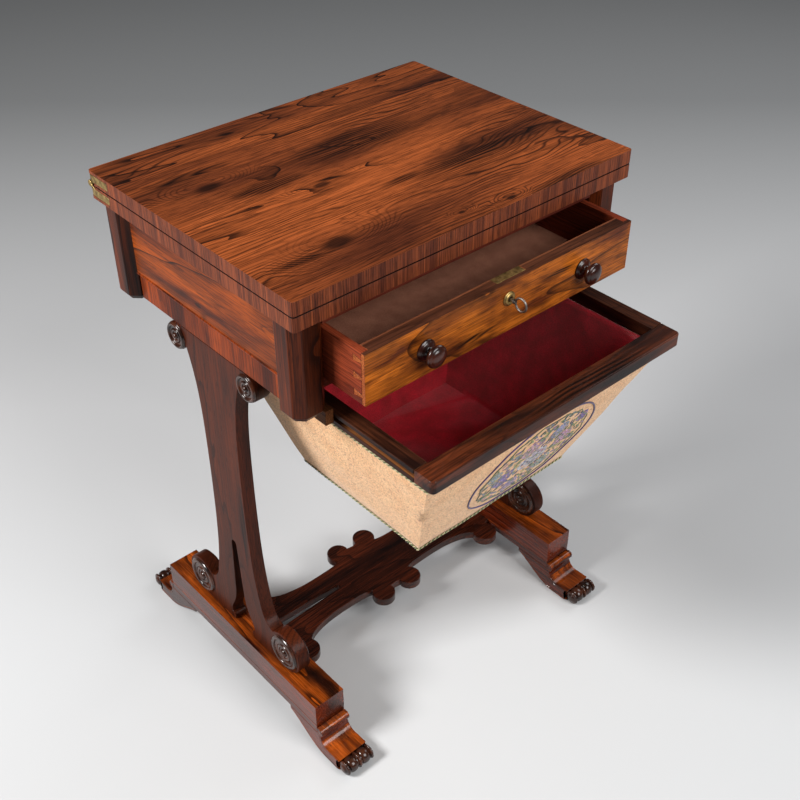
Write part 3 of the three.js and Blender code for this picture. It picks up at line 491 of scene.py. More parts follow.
mahogany = wood(
    "Mahogany, oiled, front to back", "y", "#863a22", "#5f2416", "#34120c",
    line=6, wander=10, polish=0.4, ink=0.1, fade=0.35,
)
mahogany_across = wood(
    "Mahogany, oiled, side to side", "x", "#7d3c28", "#54231a", "#3a150e",
    line=6, wander=10, polish=0.4, ink=0.1, fade=0.35,
)
beech = wood(
    "Beech, stained dark and waxed, front to back", "y", "#6b4023", "#3f2112", "#25110a",
    line=4, wander=6, polish=0.3, ink=0.05, fade=0.3,
)

PANEL_BAND, PANEL_BEAD = 15, 3.2
panel_low, panel_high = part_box("end_panel_left")
band_level = panel_high.z - PANEL_BAND * MM


def panel_faces(middle, normal):
    """A panel is figured between the cross-banded strip at its top and the bead at its foot."""
    return int(middle.z < panel_low.z + PANEL_BEAD * MM or middle.z > band_level)


def cut_across(bm, at, normal):
    """Scores a piece's faces where a plane crosses them, so that each part has its own wood."""
    everything = bm.verts[:] + bm.edges[:] + bm.faces[:]
    bmesh.ops.bisect_plane(bm, geom=everything, plane_co=at, plane_no=normal)


def case_piece(finish, name, timber, slot, arris):
    """A plain piece of the case: its CAD shape with the arrises taken off by arris mm."""
    piece(f"{finish}_{name}", soften(cad_copy(name), arris * MM), "root", slot, [timber], [name])


for side in ("left", "right"):
    for where in ("front", "back"):
        case_piece("octagonal", f"corner_post_{where}_{side}", post_wood, "rosewood", 0.9)
    name = f"end_panel_{side}"
    panel = cad_copy(name)
    cut_across(panel, Vector((0, 0, band_level)), Z)
    soften(panel, 0.35 * MM, corner=20, segments=1)
    woods = [panel_veneer, rail_wood]
    piece(f"veneered_{name}", panel, "root", "rosewood_figured", woods, [name], panel_faces)
    case_piece("moulded", f"end_rail_{side}", rail_wood, "rosewood", 0.8)
    case_piece("planed", f"drawer_runner_{side}", mahogany, "mahogany", 0.5)
    case_piece("planed", f"bag_runner_{side}", beech, "beech", 0.5)
case_piece("planed", "back_panel", front_wood, "rosewood", 0.6)
case_piece("planed", "top_rail", mahogany_across, "mahogany", 0.6)
case_piece("planed", "drawer_blade", mahogany_across, "mahogany", 0.6)
case_piece("planed", "pivot_rail", mahogany, "mahogany", 0.6)

# End standards
# Each is one flat board, sawn to a lyre-like outline: a scroll at each upper corner, a volute at
# each foot, and between them a long slot that opens on the bar between two small beads.

standard_wood = wood(
    "Rosewood, solid, satin, sawn to the standards", "z", "#4c1f0d", "#2b1007", "#100504",
    line=7, wander=50, polish=0.6, ink=0.7, fade=0.5, tone=(3, 18),
    hearts=((0.3, 0.02, 0.24, 0.1, 0.008),),
)


def arc(centre, radius, start, end, steps):
    """Points of a circular stretch, with its angles in degrees."""
    points = []
    for i in range(steps + 1):
        angle = math.radians(start + (end - start) * i / steps)
        points.append((centre[0] + radius * math.cos(angle), centre[1] + radius * math.sin(angle)))
    return points


def sweep(start, pull, push, end, steps=14):
    """Points of a cubic curve, without its first."""
    flat = [Vector((*point, 0)) for point in (start, pull, push, end)]
    return [(p.x, p.y) for p in geometry.interpolate_bezier(*flat, steps)][1:]


def board(outline, across, up, through, place, mirrored=(), arris=0.9):
    """Saws a board from a flat outline in millimetres. Each axis in mirrored repeats it about its
    own middle, as two halves of one board. place is where the outline's origin goes."""
    bm = bmesh.new()
    verts = [bm.verts.new(across * (a * MM) + up * (b * MM)) for a, b in outline]
    bm.faces.new(verts)
    for axis in mirrored:
        everything = bm.verts[:] + bm.edges[:] + bm.faces[:]
        bmesh.ops.mirror(bm, geom=everything, matrix=Matrix.Identity(4), merge_dist=1e-5, axis=axis)
    bmesh.ops.dissolve_degenerate(bm, edges=bm.edges, dist=1e-6)
    swept = bmesh.ops.extrude_face_region(bm, geom=bm.faces[:])["geom"]
    moved = [part for part in swept if isinstance(part, bmesh.types.BMVert)]
    bmesh.ops.translate(bm, verts=moved, vec=through)
    bmesh.ops.translate(bm, verts=bm.verts, vec=place)
    bmesh.ops.recalc_face_normals(bm, faces=bm.faces)
    return soften(bm, arris * MM, corner=32)


STANDARD_WAIST = 73
SCROLL_REACH, SCROLL_RADIUS, SCROLL_DROP = 72, 18.5, 20.2
VOLUTE_REACH, VOLUTE_RADIUS = 97, 32
SLOT_HEIGHT, SLOT_HALF_WIDTH = 172, 5
BEAD_REACH, BEAD_RADIUS = 26, 6.2
standard_low, standard_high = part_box("standard_left")
standard_height = (standard_high.z - standard_low.z) / MM


def standard_outline():
    """The right half of a standard, from the slot's foot round the volute and the scroll to the top."""
    half = STANDARD_WAIST / 2
    scroll = (SCROLL_REACH, standard_height - SCROLL_DROP)
    flare = scroll[1] - 8
    volute = (VOLUTE_REACH, VOLUTE_RADIUS)
    points = [(BEAD_REACH, 0), (VOLUTE_REACH - 8, 0)]
    points += arc(volute, VOLUTE_RADIUS, -82, 140, 40)
    points += sweep(points[-1], (half + 30, 54), (half + 18, 62), (half + 15, 78), 8)
    points += sweep(points[-1], (half + 5, 122), (half, 162), (half - 1, standard_height * 0.55))
    shoulder = (SCROLL_REACH - SCROLL_RADIUS, flare)
    points += sweep(points[-1], (half - 1, standard_height * 0.75), (half, flare - 50), shoulder)
    points += arc(scroll, SCROLL_RADIUS, 205, 450, 34)
    points += [(SCROLL_REACH, standard_height), (0, standard_height), (0, SLOT_HEIGHT)]
    points += arc((0, SLOT_HEIGHT - SLOT_HALF_WIDTH), SLOT_HALF_WIDTH, 78, 0, 6)
    points += [(9.5, 72)]
    points += sweep((9.5, 72), (12, 36), (29, 32), (BEAD_REACH, 2 * BEAD_RADIUS), 12)
    points += arc((BEAD_REACH, BEAD_RADIUS), BEAD_RADIUS, 100, 262, 12)
    return points


for side in ("left", "right"):
    name = f"standard_{side}"
    low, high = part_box(name)
    place = Vector((low.x, (low.y + high.y) / 2, low.z))
    sawn = board(standard_outline(), Y, Z, X * (high.x - low.x), place, mirrored="Y")
    piece(f"sawn_{name}", sawn, "root", "rosewood", [standard_wood], [name])

# Turned bosses
# A button within raised rings, turned in nearly black rosewood on a pin that goes through the
# standard, with one face outside and one inside. Two sizes: at the scrolls and at the volutes.


def turnery(name, light, dark, roughness):
    """Dark rosewood off the lathe, ebonised in patches and finely grained under its polish."""
    material = blank(name)
    place = add(material, "TexCoord").outputs["Object"]
    patch = add(material, "TexNoise", {"Vector": place, "Scale": 60.0, "Detail": 5.0}).outputs[0]
    stops = [(0.35, linear(dark)), (0.7, linear(light))]
    colour = add(material, "ValToRGB", {0: patch}, stops=stops).outputs[0]
    fine = add(material, "TexNoise", {"Vector": place, "Scale": 900.0, "Detail": 1.0}).outputs[0]
    bump = add(material, "Bump", {"Height": fine, "Strength": 0.12, "Distance": 0.0002}).outputs[0]
    return surface(
        material, Base_Color=colour, Roughness=roughness, Normal=bump, Specular_IOR_Level=0.3,
        Coat_Weight=0.3, Coat_Roughness=0.1,
    )


turned_rosewood = turnery("Rosewood, turned and ebonised", "#4a2616", "#150a07", 0.24)
knob_wood = turnery("Rosewood, turned and handled", "#481c0e", "#160806", 0.28)
TURNED = {"crease": 50, "flat": False}
BOSS_SHANK = 9
standard_half = (standard_high.x - standard_low.x) / 2 / MM


def boss_profile(radius, half, seat):
    """One side of a boss from its button out to its rim, then back in to the pin."""
    floor_level = half - 2.6
    points = [(0, half + 1.4), (radius * 0.08, half + 1.2), (radius * 0.15, half + 0.3)]
    points += [(radius * 0.2, half - 1), (radius * 0.22, floor_level)]
    points += bead(radius * 0.4, floor_level, radius * 0.09, 1.5)
    points += [(radius * 0.54, floor_level - 0.6), (radius * 0.66, floor_level - 0.6)]
    points += bead(radius * 0.85, floor_level, radius * 0.13, 2.4)
    points += [(radius, floor_level - 0.3), (radius, seat), (BOSS_SHANK, seat)]
    return points


for side in ("left", "right"):
    for where in ("front", "back"):
        for kind in ("volute", "scroll"):
            name = f"{kind}_boss_{where}_{side}"
            low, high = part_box(name)
            radius = (high.y - low.y) / 2 / MM
            half = (high.x - low.x) / 2 / MM
            outer = boss_profile(radius, half, standard_half + 0.1)
            whole = outer + [(r, -along) for r, along in reversed(outer)]
            boss = turned_piece(whole, (low + high) / 2, X)
            piece(f"turned_{name}", boss, "root", "rosewood_turned", [turned_rosewood], [name], **TURNED)

# Foot bars
# Solid bars under the standards, grained along their length. The faces that look up are painted lighter, as
# painted light from above, and the side faces darker, as painted shade, with a line scratched along them
# above the lower arris.

# Painted light: one rosewood in a lit copy for faces that look up and a shaded copy for all the others.
bar_painted_lit_top = wood(
    "Rosewood, streaked, painted lighter on faces that look up", "y", "#a34a12", "#3a1307", "#120603",
    line=9, wander=70, polish=1.3, ink=0.9, tone=(9, 46),
)
bar_painted_shaded_side = wood(
    "Rosewood, red-brown, painted darker off the top", "y", "#6c260e", "#300f06", "#140503",
    line=9, wander=20, polish=1.3, ink=0.4, fade=0.5, tone=(4, 24),
)
BAR_LINE_RISE, BAR_LINE_WIDTH = 13, 1.1


def bar_outline(width, height):
    """A bar's section with the scratched line on both side faces."""
    half, rise, cut = width / 2, BAR_LINE_RISE, BAR_LINE_WIDTH / 2
    right = [(half, 0), (half, rise - cut), (half - cut, rise), (half, rise + cut), (half, height)]
    return right + [(-a, b) for a, b in reversed(right)]


def painted_light_from_above(middle, normal):
    """Faces that look up get the lighter wood as painted light from above, and all others the darker
    red-brown as painted shade.
    """
    return int(normal.z < 0.5)


for side in ("left", "right"):
    name = f"foot_bar_{side}"
    low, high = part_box(name)
    place = Vector(((low.x + high.x) / 2, low.y, low.z))
    outline = bar_outline((high.x - low.x) / MM, (high.z - low.z) / MM)
    bar = board(outline, X, Z, Y * (high.y - low.y), place, arris=0.8)
    piece(f"lined_{name}", bar, "root", "rosewood", [bar_painted_lit_top, bar_painted_shaded_side], [name], painted_light_from_above)

# Scroll feet
# Sawn across their width like a length of moulding: a half-round bead and a hollow in front of
# the bar, then a long slope down to the seat of the toe, with a line scratched on each side.

FOOT_TAIL, FOOT_GAP = 60, 0.3
SIDE_LINE_INSET, SIDE_LINE_HALF = 1.6, 0.45
bar_low, bar_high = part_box("foot_bar_left")
table_middle = (bar_low.y + bar_high.y) / 2
toe_low, toe_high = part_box("toe_bobbin_back_left")
toe_radius = (toe_high.z - toe_low.z) / 2 / MM
toe_centre = ((toe_low.y + toe_high.y) / 2 - table_middle) / MM
toe_rise = (toe_low.z + toe_high.z) / 2 / MM


def foot_outline():
    """A foot in (distance out from the middle of the bar, height)."""
    bar_end = (bar_high.y - table_middle) / MM + FOOT_GAP
    top = bar_low.z / MM - FOOT_GAP
    tail = bar_end - FOOT_GAP - FOOT_TAIL
    points = [(tail, top), (bar_end, top), (bar_end, top + 8.5)]
    points += arc((bar_end + 4.6, top + 2.9), 6.4, 88, -78, 14)
    points += [(bar_end + 6.4, top - 5.2), (bar_end + 6.4, top - 8)]
    points += arc((bar_end + 22, top - 4.6), 15.6, 200, 284, 14)
    points += arc((toe_centre, toe_rise), toe_radius + FOOT_GAP, 135, 228, 12)
    points += [(toe_centre - 13, 0), (toe_centre - 40, 0)]
    points += sweep(points[-1], (toe_centre - 66, 1), (tail + 22, top - 13), (tail + 1, top - 6.5), 16)
    return points


def scratched_sides(bm):
    """Cuts a fine V line a little inside the outline of both side faces."""
    flat = [face for face in bm.faces if abs(face.normal.x) > 0.99 and face.calc_area() > 1e-4]
    steps = ((SIDE_LINE_INSET, 0), (SIDE_LINE_HALF, -SIDE_LINE_HALF), (SIDE_LINE_HALF, SIDE_LINE_HALF))
    for face in flat:
        for inset, rise in steps:
            bmesh.ops.inset_region(
                bm, faces=[face], thickness=inset * MM, depth=rise * MM, use_even_offset=False,
            )


for side in ("left", "right"):
    for where, out in (("front", -1), ("back", 1)):
        name = f"scroll_foot_{where}_{side}"
        low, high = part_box(name)
        place = Vector((low.x, table_middle, 0))
        foot = board(foot_outline(), Y * out, Z, X * (high.x - low.x), place, arris=0.6)
        scratched_sides(foot)
        # Painted light: as on the bars, the faces of the foot that look up take the lit wood and the rest
        # the shaded wood.
        piece(f"moulded_{name}", foot, "root", "rosewood", [bar_painted_lit_top, bar_painted_shaded_side], [name], painted_light_from_above)

# Toe bobbins
# Turned rolls that lie across the ends of the feet: a fine ring in the middle, a bulb on each
# side of it, and a ball and a button at each end.


def bead_along(middle, half_width, low_radius, high_radius, steps):
    """A half-round swelling round a turned roll, as (radius, distance along it)."""
    start = 90 if middle == 0 else 0
    points = []
    for i in range(steps + 1):
        angle = math.radians(start + (180 - start) * i / steps)
        height = low_radius + (high_radius - low_radius) * math.sin(angle)
        points.append((height, middle - half_width * math.cos(angle)))
    return points


def bobbin_profile(radius, half):
    """Half a bobbin, from its middle ring to its end button."""
    points = bead_along(0, 1.7, radius - 1.2, radius, 5)
    points += [(radius - 3.4, 2.2), (radius - 3.4, 3.2)]
    points += bead_along(10.2, 6.4, radius - 3.4, radius - 0.2, 10)
    points += [(radius - 4, 17.4), (radius - 4, 18.2)]
    points += bead_along(half - 4.6, 2.0, radius - 3.4, radius - 0.4, 6)
    points += [(radius - 4.6, half - 2.2), (radius - 5.2, half - 1.2), (radius - 7.6, half - 0.3), (0, half)]
    return points


for side in ("left", "right"):
    for where in ("front", "back"):
        name = f"toe_bobbin_{where}_{side}"
        low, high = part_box(name)
        half_profile = bobbin_profile((high.z - low.z) / 2 / MM, (high.x - low.x) / 2 / MM)
        whole = [(r, -along) for r, along in reversed(half_profile[1:])] + half_profile
        roll = turned_piece(whole, (low + high) / 2, X, steps=40)
        piece(f"turned_{name}", roll, "root", "rosewood_turned", [turned_rosewood], [name], **TURNED)

# Stretcher
# One flat board between the bars: waisted arms with a long tapered slot, four round lobes about
# the middle and two at each end.

STRETCHER_WAIST = 73
MIDDLE_LOBE, MIDDLE_LOBE_AT = 17.5, (26, 54.5)
END_LOBE, END_LOBE_INSET, END_LOBE_OUT = 19, 24, 64
ARM_SLOT = (72, 3.5, 176, 7.5)
stretcher_wood = wood(
    "Rosewood, deep red-brown, polished", "x", "#481c0c", "#170704", "#090302",
    line=10, wander=60, polish=1.3, tone=(3, 18),
)
stretcher_low, stretcher_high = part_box("stretcher")
stretcher_half = (stretcher_high.x - stretcher_low.x) / 2 / MM


def stretcher_outline():
    """A quarter of the stretcher, round the lobes and back along the slot."""
    waist = STRETCHER_WAIST / 2
    lobe_x = stretcher_half - END_LOBE_INSET
    near, near_radius, far, far_radius = ARM_SLOT
    points = [(0, 0), (0, MIDDLE_LOBE_AT[1] - 3)]
    points += [(MIDDLE_LOBE_AT[0] - 16.5, MIDDLE_LOBE_AT[1] - 1.5)]
    points += arc(MIDDLE_LOBE_AT, MIDDLE_LOBE, 178, -52, 30)
    points += sweep(points[-1], (44, waist + 0.5), (62, waist), (92, waist), 12)
    lobe_start = (lobe_x - 16.5, END_LOBE_OUT - 9.5)
    points += sweep(points[-1], (124, waist), (lobe_x - 27, waist + 6), lobe_start, 12)
    points += arc((lobe_x, END_LOBE_OUT), END_LOBE, 206, -38, 32)
    points += [(stretcher_half, END_LOBE_OUT - 15), (stretcher_half, 0), (far + far_radius, 0)]
    points += arc((far, 0), far_radius, 0, 90, 8)[1:]
    points += arc((near, 0), near_radius, 90, 180, 6)
    return points


place = (stretcher_low + stretcher_high) / 2
place.z = stretcher_low.z
through = Z * (stretcher_high.z - stretcher_low.z)
pierced = board(stretcher_outline(), X, Y, through, place, mirrored="XY", arris=1.2)
piece("pierced_stretcher", pierced, "root", "rosewood", [stretcher_wood], ["stretcher"])

# Drawer
# A veneered front with lapped dovetails into mahogany sides, a thin back, a bottom lined with rosy
# paper, and two turned knobs. The front's upper edge shows a rosewood edging and the cedar core.

burr = wood(
    "Rosewood veneer, golden and streaky", "x", "#b8631c", "#5a280e", "#180a05",
    line=15, wander=160, polish=0.7, ink=0.8, fade=0.5, tone=(14, 46),
    hearts=((0.085, -0.195, 0.655, 0.035, 0.006), (-0.06, -0.195, 0.625, 0.05, 0.008)),
)
drawer_edge = wood(
    "Rosewood edging of the drawer front", "x", "#55301f", "#2c150e", "#120706",
    line=7, wander=16, polish=0.5, ink=0.4,
)
drawer_core = wood(
    "Cedar core at the back of the drawer front", "x", "#7c4a30", "#5e3120", "#3a1c12",
    line=5, wander=8, polish=0.3, ink=0.0,
)
pin_wood = wood(
    "Cedar, end grain of the dovetail pins", "x", "#a65f33", "#8a4526", "#5c2b17",
    line=3, wander=4, polish=0.3, ink=0.0, fade=0.3,
)
EDGING_DEPTH, LAP_DEPTH = 15, 5
front_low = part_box("drawer_front")[0]


def cloth(name, light, dark, fleck, thread, sheen, roughness, fleck_amount):
    """A cloth or paper with threads or fibres thread mm apart, drawn coarser than life so that they
    show, with slubs in two shades, and flecks of a third colour."""
    material = blank(name)
    place = add(material, "TexCoord").outputs["Object"]
    size = 1000 / thread
    threads = add(material, "TexVoronoi", {"Vector": place, "Scale": size}).outputs[0]
    slub = add(material, "TexNoise", {"Vector": place, "Scale": 55.0, "Detail": 4.0}).outputs[0]
    stops = [(0.3, linear(dark)), (0.66, linear(light))]
    ground = add(material, "ValToRGB", {0: slub}, stops=stops).outputs[0]
    dots = add(material, "TexNoise", {"Vector": place, "Scale": size * 0.55, "Detail": 2.0}).outputs[0]
    inputs = {"Value": dots, "From Min": 0.54, "From Max": 0.66, "To Max": fleck_amount}
    spots = add(material, "MapRange", inputs).outputs[0]
    flecked = add(material, "Mix", {0: spots, 6: ground, 7: linear(fleck)}, data_type="RGBA").outputs[2]
    inputs = {"Value": threads, "From Max": 0.7, "To Min": 1.2, "To Max": 0.55}
    dips = add(material, "MapRange", inputs).outputs[0]
    inputs = {0: 0.9, 6: flecked, 7: dips}
    colour = add(material, "Mix", inputs, data_type="RGBA", blend_type="MULTIPLY").outputs[2]
    bump = add(material, "Bump", {"Height": dips, "Strength": 0.5, "Distance": 0.0006}).outputs[0]
    return surface(material, Base_Color=colour, Roughness=roughness, Normal=bump, Sheen_Weight=sheen)


lining_paper = cloth(
    "Lining paper, rosy brown and foxed", "#b9785c", "#a0644b", "#5c3426", 0.6, 0.0, 0.8, 0.35,
)


def front_faces(middle, normal):
    """Which wood a face of the drawer's front shows."""
    if normal.y < -0.5:
        return 0
    if abs(normal.x) > 0.9 and middle.y > front_low.y + LAP_DEPTH * MM:
        return 2
    if normal.z > 0.5:
        return 1 if middle.y < front_low.y + EDGING_DEPTH * MM else 4
    return 3


front = cad_copy("drawer_front")
cut_across(front, Vector((0, front_low.y + EDGING_DEPTH * MM, 0)), Y)
soften(front, 0.4 * MM, corner=60)
woods = [burr, drawer_edge, pin_wood, mahogany_across, drawer_core]
piece(
    "veneered_drawer_front", front, "drawer", "rosewood_figured", woods, ["drawer_front"], front_faces,
)
for name, timber in (
    ("drawer_side_left", mahogany),
    ("drawer_side_right", mahogany),
    ("drawer_back", mahogany_across),
    ("drawer_bottom", lining_paper),
):
    board_piece = soften(cad_copy(name), 0.5 * MM, corner=60)
    piece(f"planed_{name}", board_piece, "drawer", "mahogany", [timber], [name])


KNOB_ROSE = 13


def knob_profile(rose, length):
    """A knob from its screw pin out to the crown of its mushroom head."""
    points = [(0, 17.5), (4, 17.5), (4, -0.3), (rose, -0.3), (rose, -1.2)]
    points += [(rose - 0.5, -1.9), (rose - 1.6, -2.3), (rose - 2, -3.2), (rose - 3.4, -4.2)]
    points += [(6.8, -5.2), (5.5, -6.6), (5.2, -8.4), (6, -10.2), (8.6, -11.6), (11.2, -12.8)]
    points += [(13, -14.4), (13.6, -16), (13.5, -17.4), (12.7, -18.8), (11.4, -19.7), (10.2, -20)]
    points += [(9.7, -20.6), (8, -21.6), (4, -length + 0.4), (0, -length)]
    return points


for side in ("left", "right"):
    name = f"drawer_knob_{side}"
    low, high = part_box(name)
    centre = (low + high) / 2
    centre.y = front_low.y
    knob = turned_piece(knob_profile(KNOB_ROSE, (front_low.y - low.y) / MM), centre, Y, steps=56)
    piece(f"turned_{name}", knob, "drawer", "rosewood_turned", [knob_wood], [name], **TURNED)

# Lock, escutcheon and key
# A brass till lock let into the top of the drawer's front, with its bolt showing in the selvedge,
# a stamped brass ring round the keyhole, and a steel key with a ring bow.

lock_low, lock_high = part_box("lock_case")
lock = soften(cad_copy("lock_case"), 0.15 * MM, corner=60, segments=1)
LOCK_SCREW_INSET = 5
lock_middle = (lock_low.y + lock_high.y) / 2
screw_ends = (lock_low.x + LOCK_SCREW_INSET * MM, lock_high.x - LOCK_SCREW_INSET * MM)
screws(lock, [Vector((x, lock_middle, lock_high.z)) for x in screw_ends], Z, SCREW_RADIUS)
piece("brass_lock", lock, "drawer", "brass", [brass], ["lock_case"])
lock_bolt = soften(cad_copy("lock_bolt"), 0.2 * MM)
piece("brass_lock_bolt", lock_bolt, "bolt", "brass", [brass], ["lock_bolt"])

ring_low, ring_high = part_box("escutcheon")
keyhole = Vector(((ring_low.x + ring_high.x) / 2, front_low.y, (ring_low.z + ring_high.z) / 2))
ring_profile = [(3.2, -0.3), (9, -0.3), (9, -0.9), (8.6, -1.3), (7.9, -1.5), (7.6, -2.1)]
ring_profile += [(6.6, -3), (5.4, -3.3), (4.4, -3.2), (3.6, -2.6), (3.2, -1.8), (3.2, -0.3)]
ring = turned_piece(ring_profile, keyhole, Y)
piece("stamped_escutcheon", ring, "drawer", "brass", [brass], ["escutcheon"], flat=False)

KEY_BOW, KEY_WIRE, KEY_STEM, KEY_COLLAR = 8, 1.3, 2.2, 2.9
KEY_BIT, BIT_PLACE = (2, 4.5, 6.8), (0, -2.9, -3.4)
key_low, key_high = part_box("key")
bow_centre = Vector((keyhole.x, key_low.y + (KEY_BOW + KEY_WIRE) * MM, keyhole.z))
bow_foot = (bow_centre.y - keyhole.y) / MM + KEY_BOW
stem_end = (key_high.y - keyhole.y) / MM
stem = [(0, bow_foot - 1), (1.9, bow_foot - 0.6), (2.4, bow_foot + 0.6), (1.7, bow_foot + 1.2)]
stem += [(KEY_COLLAR, bow_foot + 1.7), (KEY_COLLAR, bow_foot + 2.7), (KEY_STEM, bow_foot + 3.2)]
stem += [(KEY_STEM, stem_end), (0, stem_end)]
key = turned_piece(stem, keyhole, Y, steps=24)
wire_place = Matrix.Translation(bow_centre + Y * (KEY_BOW * MM))
wire = bmesh.ops.create_circle(key, segments=12, radius=KEY_WIRE * MM, matrix=wire_place)["verts"]
wire_edges = list({edge for vert in wire for edge in vert.link_edges})
bmesh.ops.spin(
    key, geom=wire + wire_edges, cent=bow_centre, axis=X, angle=2 * math.pi, steps=48, use_merge=True,
)
bmesh.ops.remove_doubles(key, verts=key.verts, dist=1e-6)
bit = bmesh.ops.create_cube(key, size=1)["verts"]
bmesh.ops.scale(key, verts=bit, vec=Vector(KEY_BIT) * MM)
bmesh.ops.translate(key, verts=bit, vec=keyhole + (Vector(BIT_PLACE) + Y * stem_end) * MM)
bmesh.ops.recalc_face_normals(key, faces=key.faces)
piece("ring_key", key, "key", "steel", [steel], ["key"], flat=False)

# Bag slide
# Four dark rosewood rails: the front one broad with rounded corners and butted on the ends of the
# side rails, which are grooved outside for the runners. The groove shows the paler core.

slide_wood = wood(
    "Rosewood, dark, polished, side to side", "x", "#5b2a15", "#190a07", "#080302",
    line=9, wander=60, polish=0.9, tone=(7, 44),
    hearts=((0.05, -0.28, 0.565, 0.16, 0.02),),
)
slide_side = wood(
    "Rosewood, dark and flecked, front to back", "y", "#4a2616", "#1c0c08", "#0b0404",
    line=7, wander=30, polish=0.6, tone=(9, 60),
)
groove_core = wood(
    "Beech core in the slide's groove", "y", "#8d5a33", "#5f3820", "#3a1f12",
    line=3, wander=6, polish=0.2, ink=0.0, fade=0.3,
)
rail_low, rail_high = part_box("bag_rail_left")


GROOVE_LIP = 3


def in_groove(middle, normal):
    """A side rail shows its core on the faces within the groove."""
    reach = rail_high.x - rail_low.x
    depth = min(abs(middle.x - rail_low.x), abs(middle.x + rail_low.x))
    between = rail_low.z + GROOVE_LIP * MM < middle.z < rail_high.z - GROOVE_LIP * MM
    return int(1 * MM < depth < reach * 0.5 and between)


front_rail = soften(cad_copy("bag_rail_front"), 1.4 * MM, segments=3)
piece("butted_bag_rail_front", front_rail, "bag_slide", "rosewood", [slide_wood], ["bag_rail_front"])
for name, timber, choose in (
    ("bag_rail_left", slide_side, in_groove),
    ("bag_rail_right", slide_side, in_groove),
    ("bag_rail_back", slide_wood, None),
):
    rail = soften(cad_copy(name), 0.5 * MM)
    woods = [timber, groove_core]
    piece(f"grooved_{name}", rail, "bag_slide", "rosewood", woods, [name], choose)

# Work bag
# Coarse peach wool canvas over pasteboard panels: it hangs from under the rails, tapers to a stiff
# flat bottom, and bellies a little between its seams. Inside is a glazed crimson cotton.

BAG_LEVELS, BAG_SIDE_STEPS = 22, 26
BAG_BOTTOM_HALF, BAG_BOTTOM_LENGTH, BAG_BOTTOM_INSET, BAG_TOP_INSET = 129, 222, 100, 13
BAG_BELLY, BAG_MIDDLE = 5, 185
CANVAS_PULL, CANVAS_SEED, CANVAS_THICKNESS = 1.6, 3.0, 1.2
LINING_PULL, LINING_SEED, LINING_THICKNESS = 2.2, 9.0, 0.7
LINING_BELLY, LINING_GAP, LINING_SIDE, LINING_FRONT, LINING_BACK = 8, 3, 0.6, 29.3, 11.6
LINING_RISE, LINING_FLOOR = 0.2, 3.5
bag_low, bag_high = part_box("work_bag")
slide_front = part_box("bag_rail_front")[0].y / MM
bottom_front = slide_front + BAG_BOTTOM_INSET
bottom_back = bottom_front + BAG_BOTTOM_LENGTH
bag_middle = slide_front + BAG_MIDDLE
bag_top = bag_high.z / MM
bag_depth = (bag_high.z - bag_low.z) / MM


def bag_ring(t, half_top, front_top, back_top, half_bottom, front_bottom, back_bottom, belly):
    """One level of a tapering bag as (x, y) points in millimetres, evenly spaced along each wall.
    t is 0 at the bottom and 1 at the top."""
    swell = belly * math.sin(math.pi * t)
    half = half_bottom + (half_top - half_bottom) * t
    front = front_bottom + (front_top - front_bottom) * t
    back = back_bottom + (back_top - back_bottom) * t
    corners = [(-half, front), (half, front), (half, back), (-half, back)]
    outward = [(0, -1), (1, 0), (0, 1), (-1, 0)]
    ring = []
    for (start, end, out) in zip(corners, corners[1:] + corners[:1], outward):
        for i in range(BAG_SIDE_STEPS):
            s = i / BAG_SIDE_STEPS
            bulge = swell * math.sin(math.pi * s) ** 0.7
            ring.append((
                start[0] + (end[0] - start[0]) * s + out[0] * bulge,
                start[1] + (end[1] - start[1]) * s + out[1] * bulge,
            ))
    return ring


def pulled(ring, height, wobble, seed, proud=0.0):
    """A ring's points with the cloth pulled a little uneven, in metres, and proud mm outside it."""
    points = []
    for x, y in ring:
        pull = noise.noise(Vector((x, y, height)) * 0.022 + Vector((seed, 0, 0))) * wobble
        away = Vector((x, y - bag_middle, 0)).normalized()
        points.append((Vector((x, y, height)) + away * (pull + proud)) * MM)
    return points


def bag_shell(rings, heights, wobble, seed):
    """Bridges the rings into cloth walls and closes the bottom."""
    bm = bmesh.new()
    levels = []
    for ring, height in zip(rings, heights):
        verts = [bm.verts.new(point) for point in pulled(ring, height, wobble, seed)]
        levels.append([bm.edges.new((a, b)) for a, b in zip(verts, verts[1:] + verts[:1])])
    for lower, upper in zip(levels, levels[1:]):
        bmesh.ops.bridge_loops(bm, edges=lower + upper)
    bmesh.ops.contextual_create(bm, geom=levels[0])
    bmesh.ops.recalc_face_normals(bm, faces=bm.faces)
    return bm


canvas = cloth("Wool canvas, peach, plain weave", "#f8c48a", "#eeb276", "#a55a2c", 1.7, 0.25, 0.9, 0.6)
crimson = cloth("Cotton, glazed crimson", "#dc102c", "#b0081a", "#7a050d", 0.9, 0.5, 0.34, 0.25)

outer_rings, outer_heights = [], []
inner_rings, inner_heights = [], []
for level in range(BAG_LEVELS + 1):
    t = level / BAG_LEVELS
    outer_rings.append(bag_ring(
        t, bag_high.x / MM, slide_front + BAG_TOP_INSET, bag_high.y / MM,
        BAG_BOTTOM_HALF, bottom_front, bottom_back, BAG_BELLY,
    ))
    outer_heights.append(bag_top - bag_depth * (1 - t))
    inner_rings.append(bag_ring(
        t, rail_high.x / -MM - LINING_SIDE, slide_front + LINING_FRONT, bag_high.y / MM - LINING_BACK,
        BAG_BOTTOM_HALF - LINING_GAP, bottom_front + LINING_GAP, bottom_back - LINING_GAP, LINING_BELLY,
    ))
    inner_heights.append(bag_top + LINING_RISE - (bag_depth - LINING_FLOOR) * (1 - t))
shell = bag_shell(outer_rings, outer_heights, CANVAS_PULL, CANVAS_SEED)
wall_tree = BVHTree.FromBMesh(shell)
lining = bag_shell(inner_rings, inner_heights, LINING_PULL, LINING_SEED)
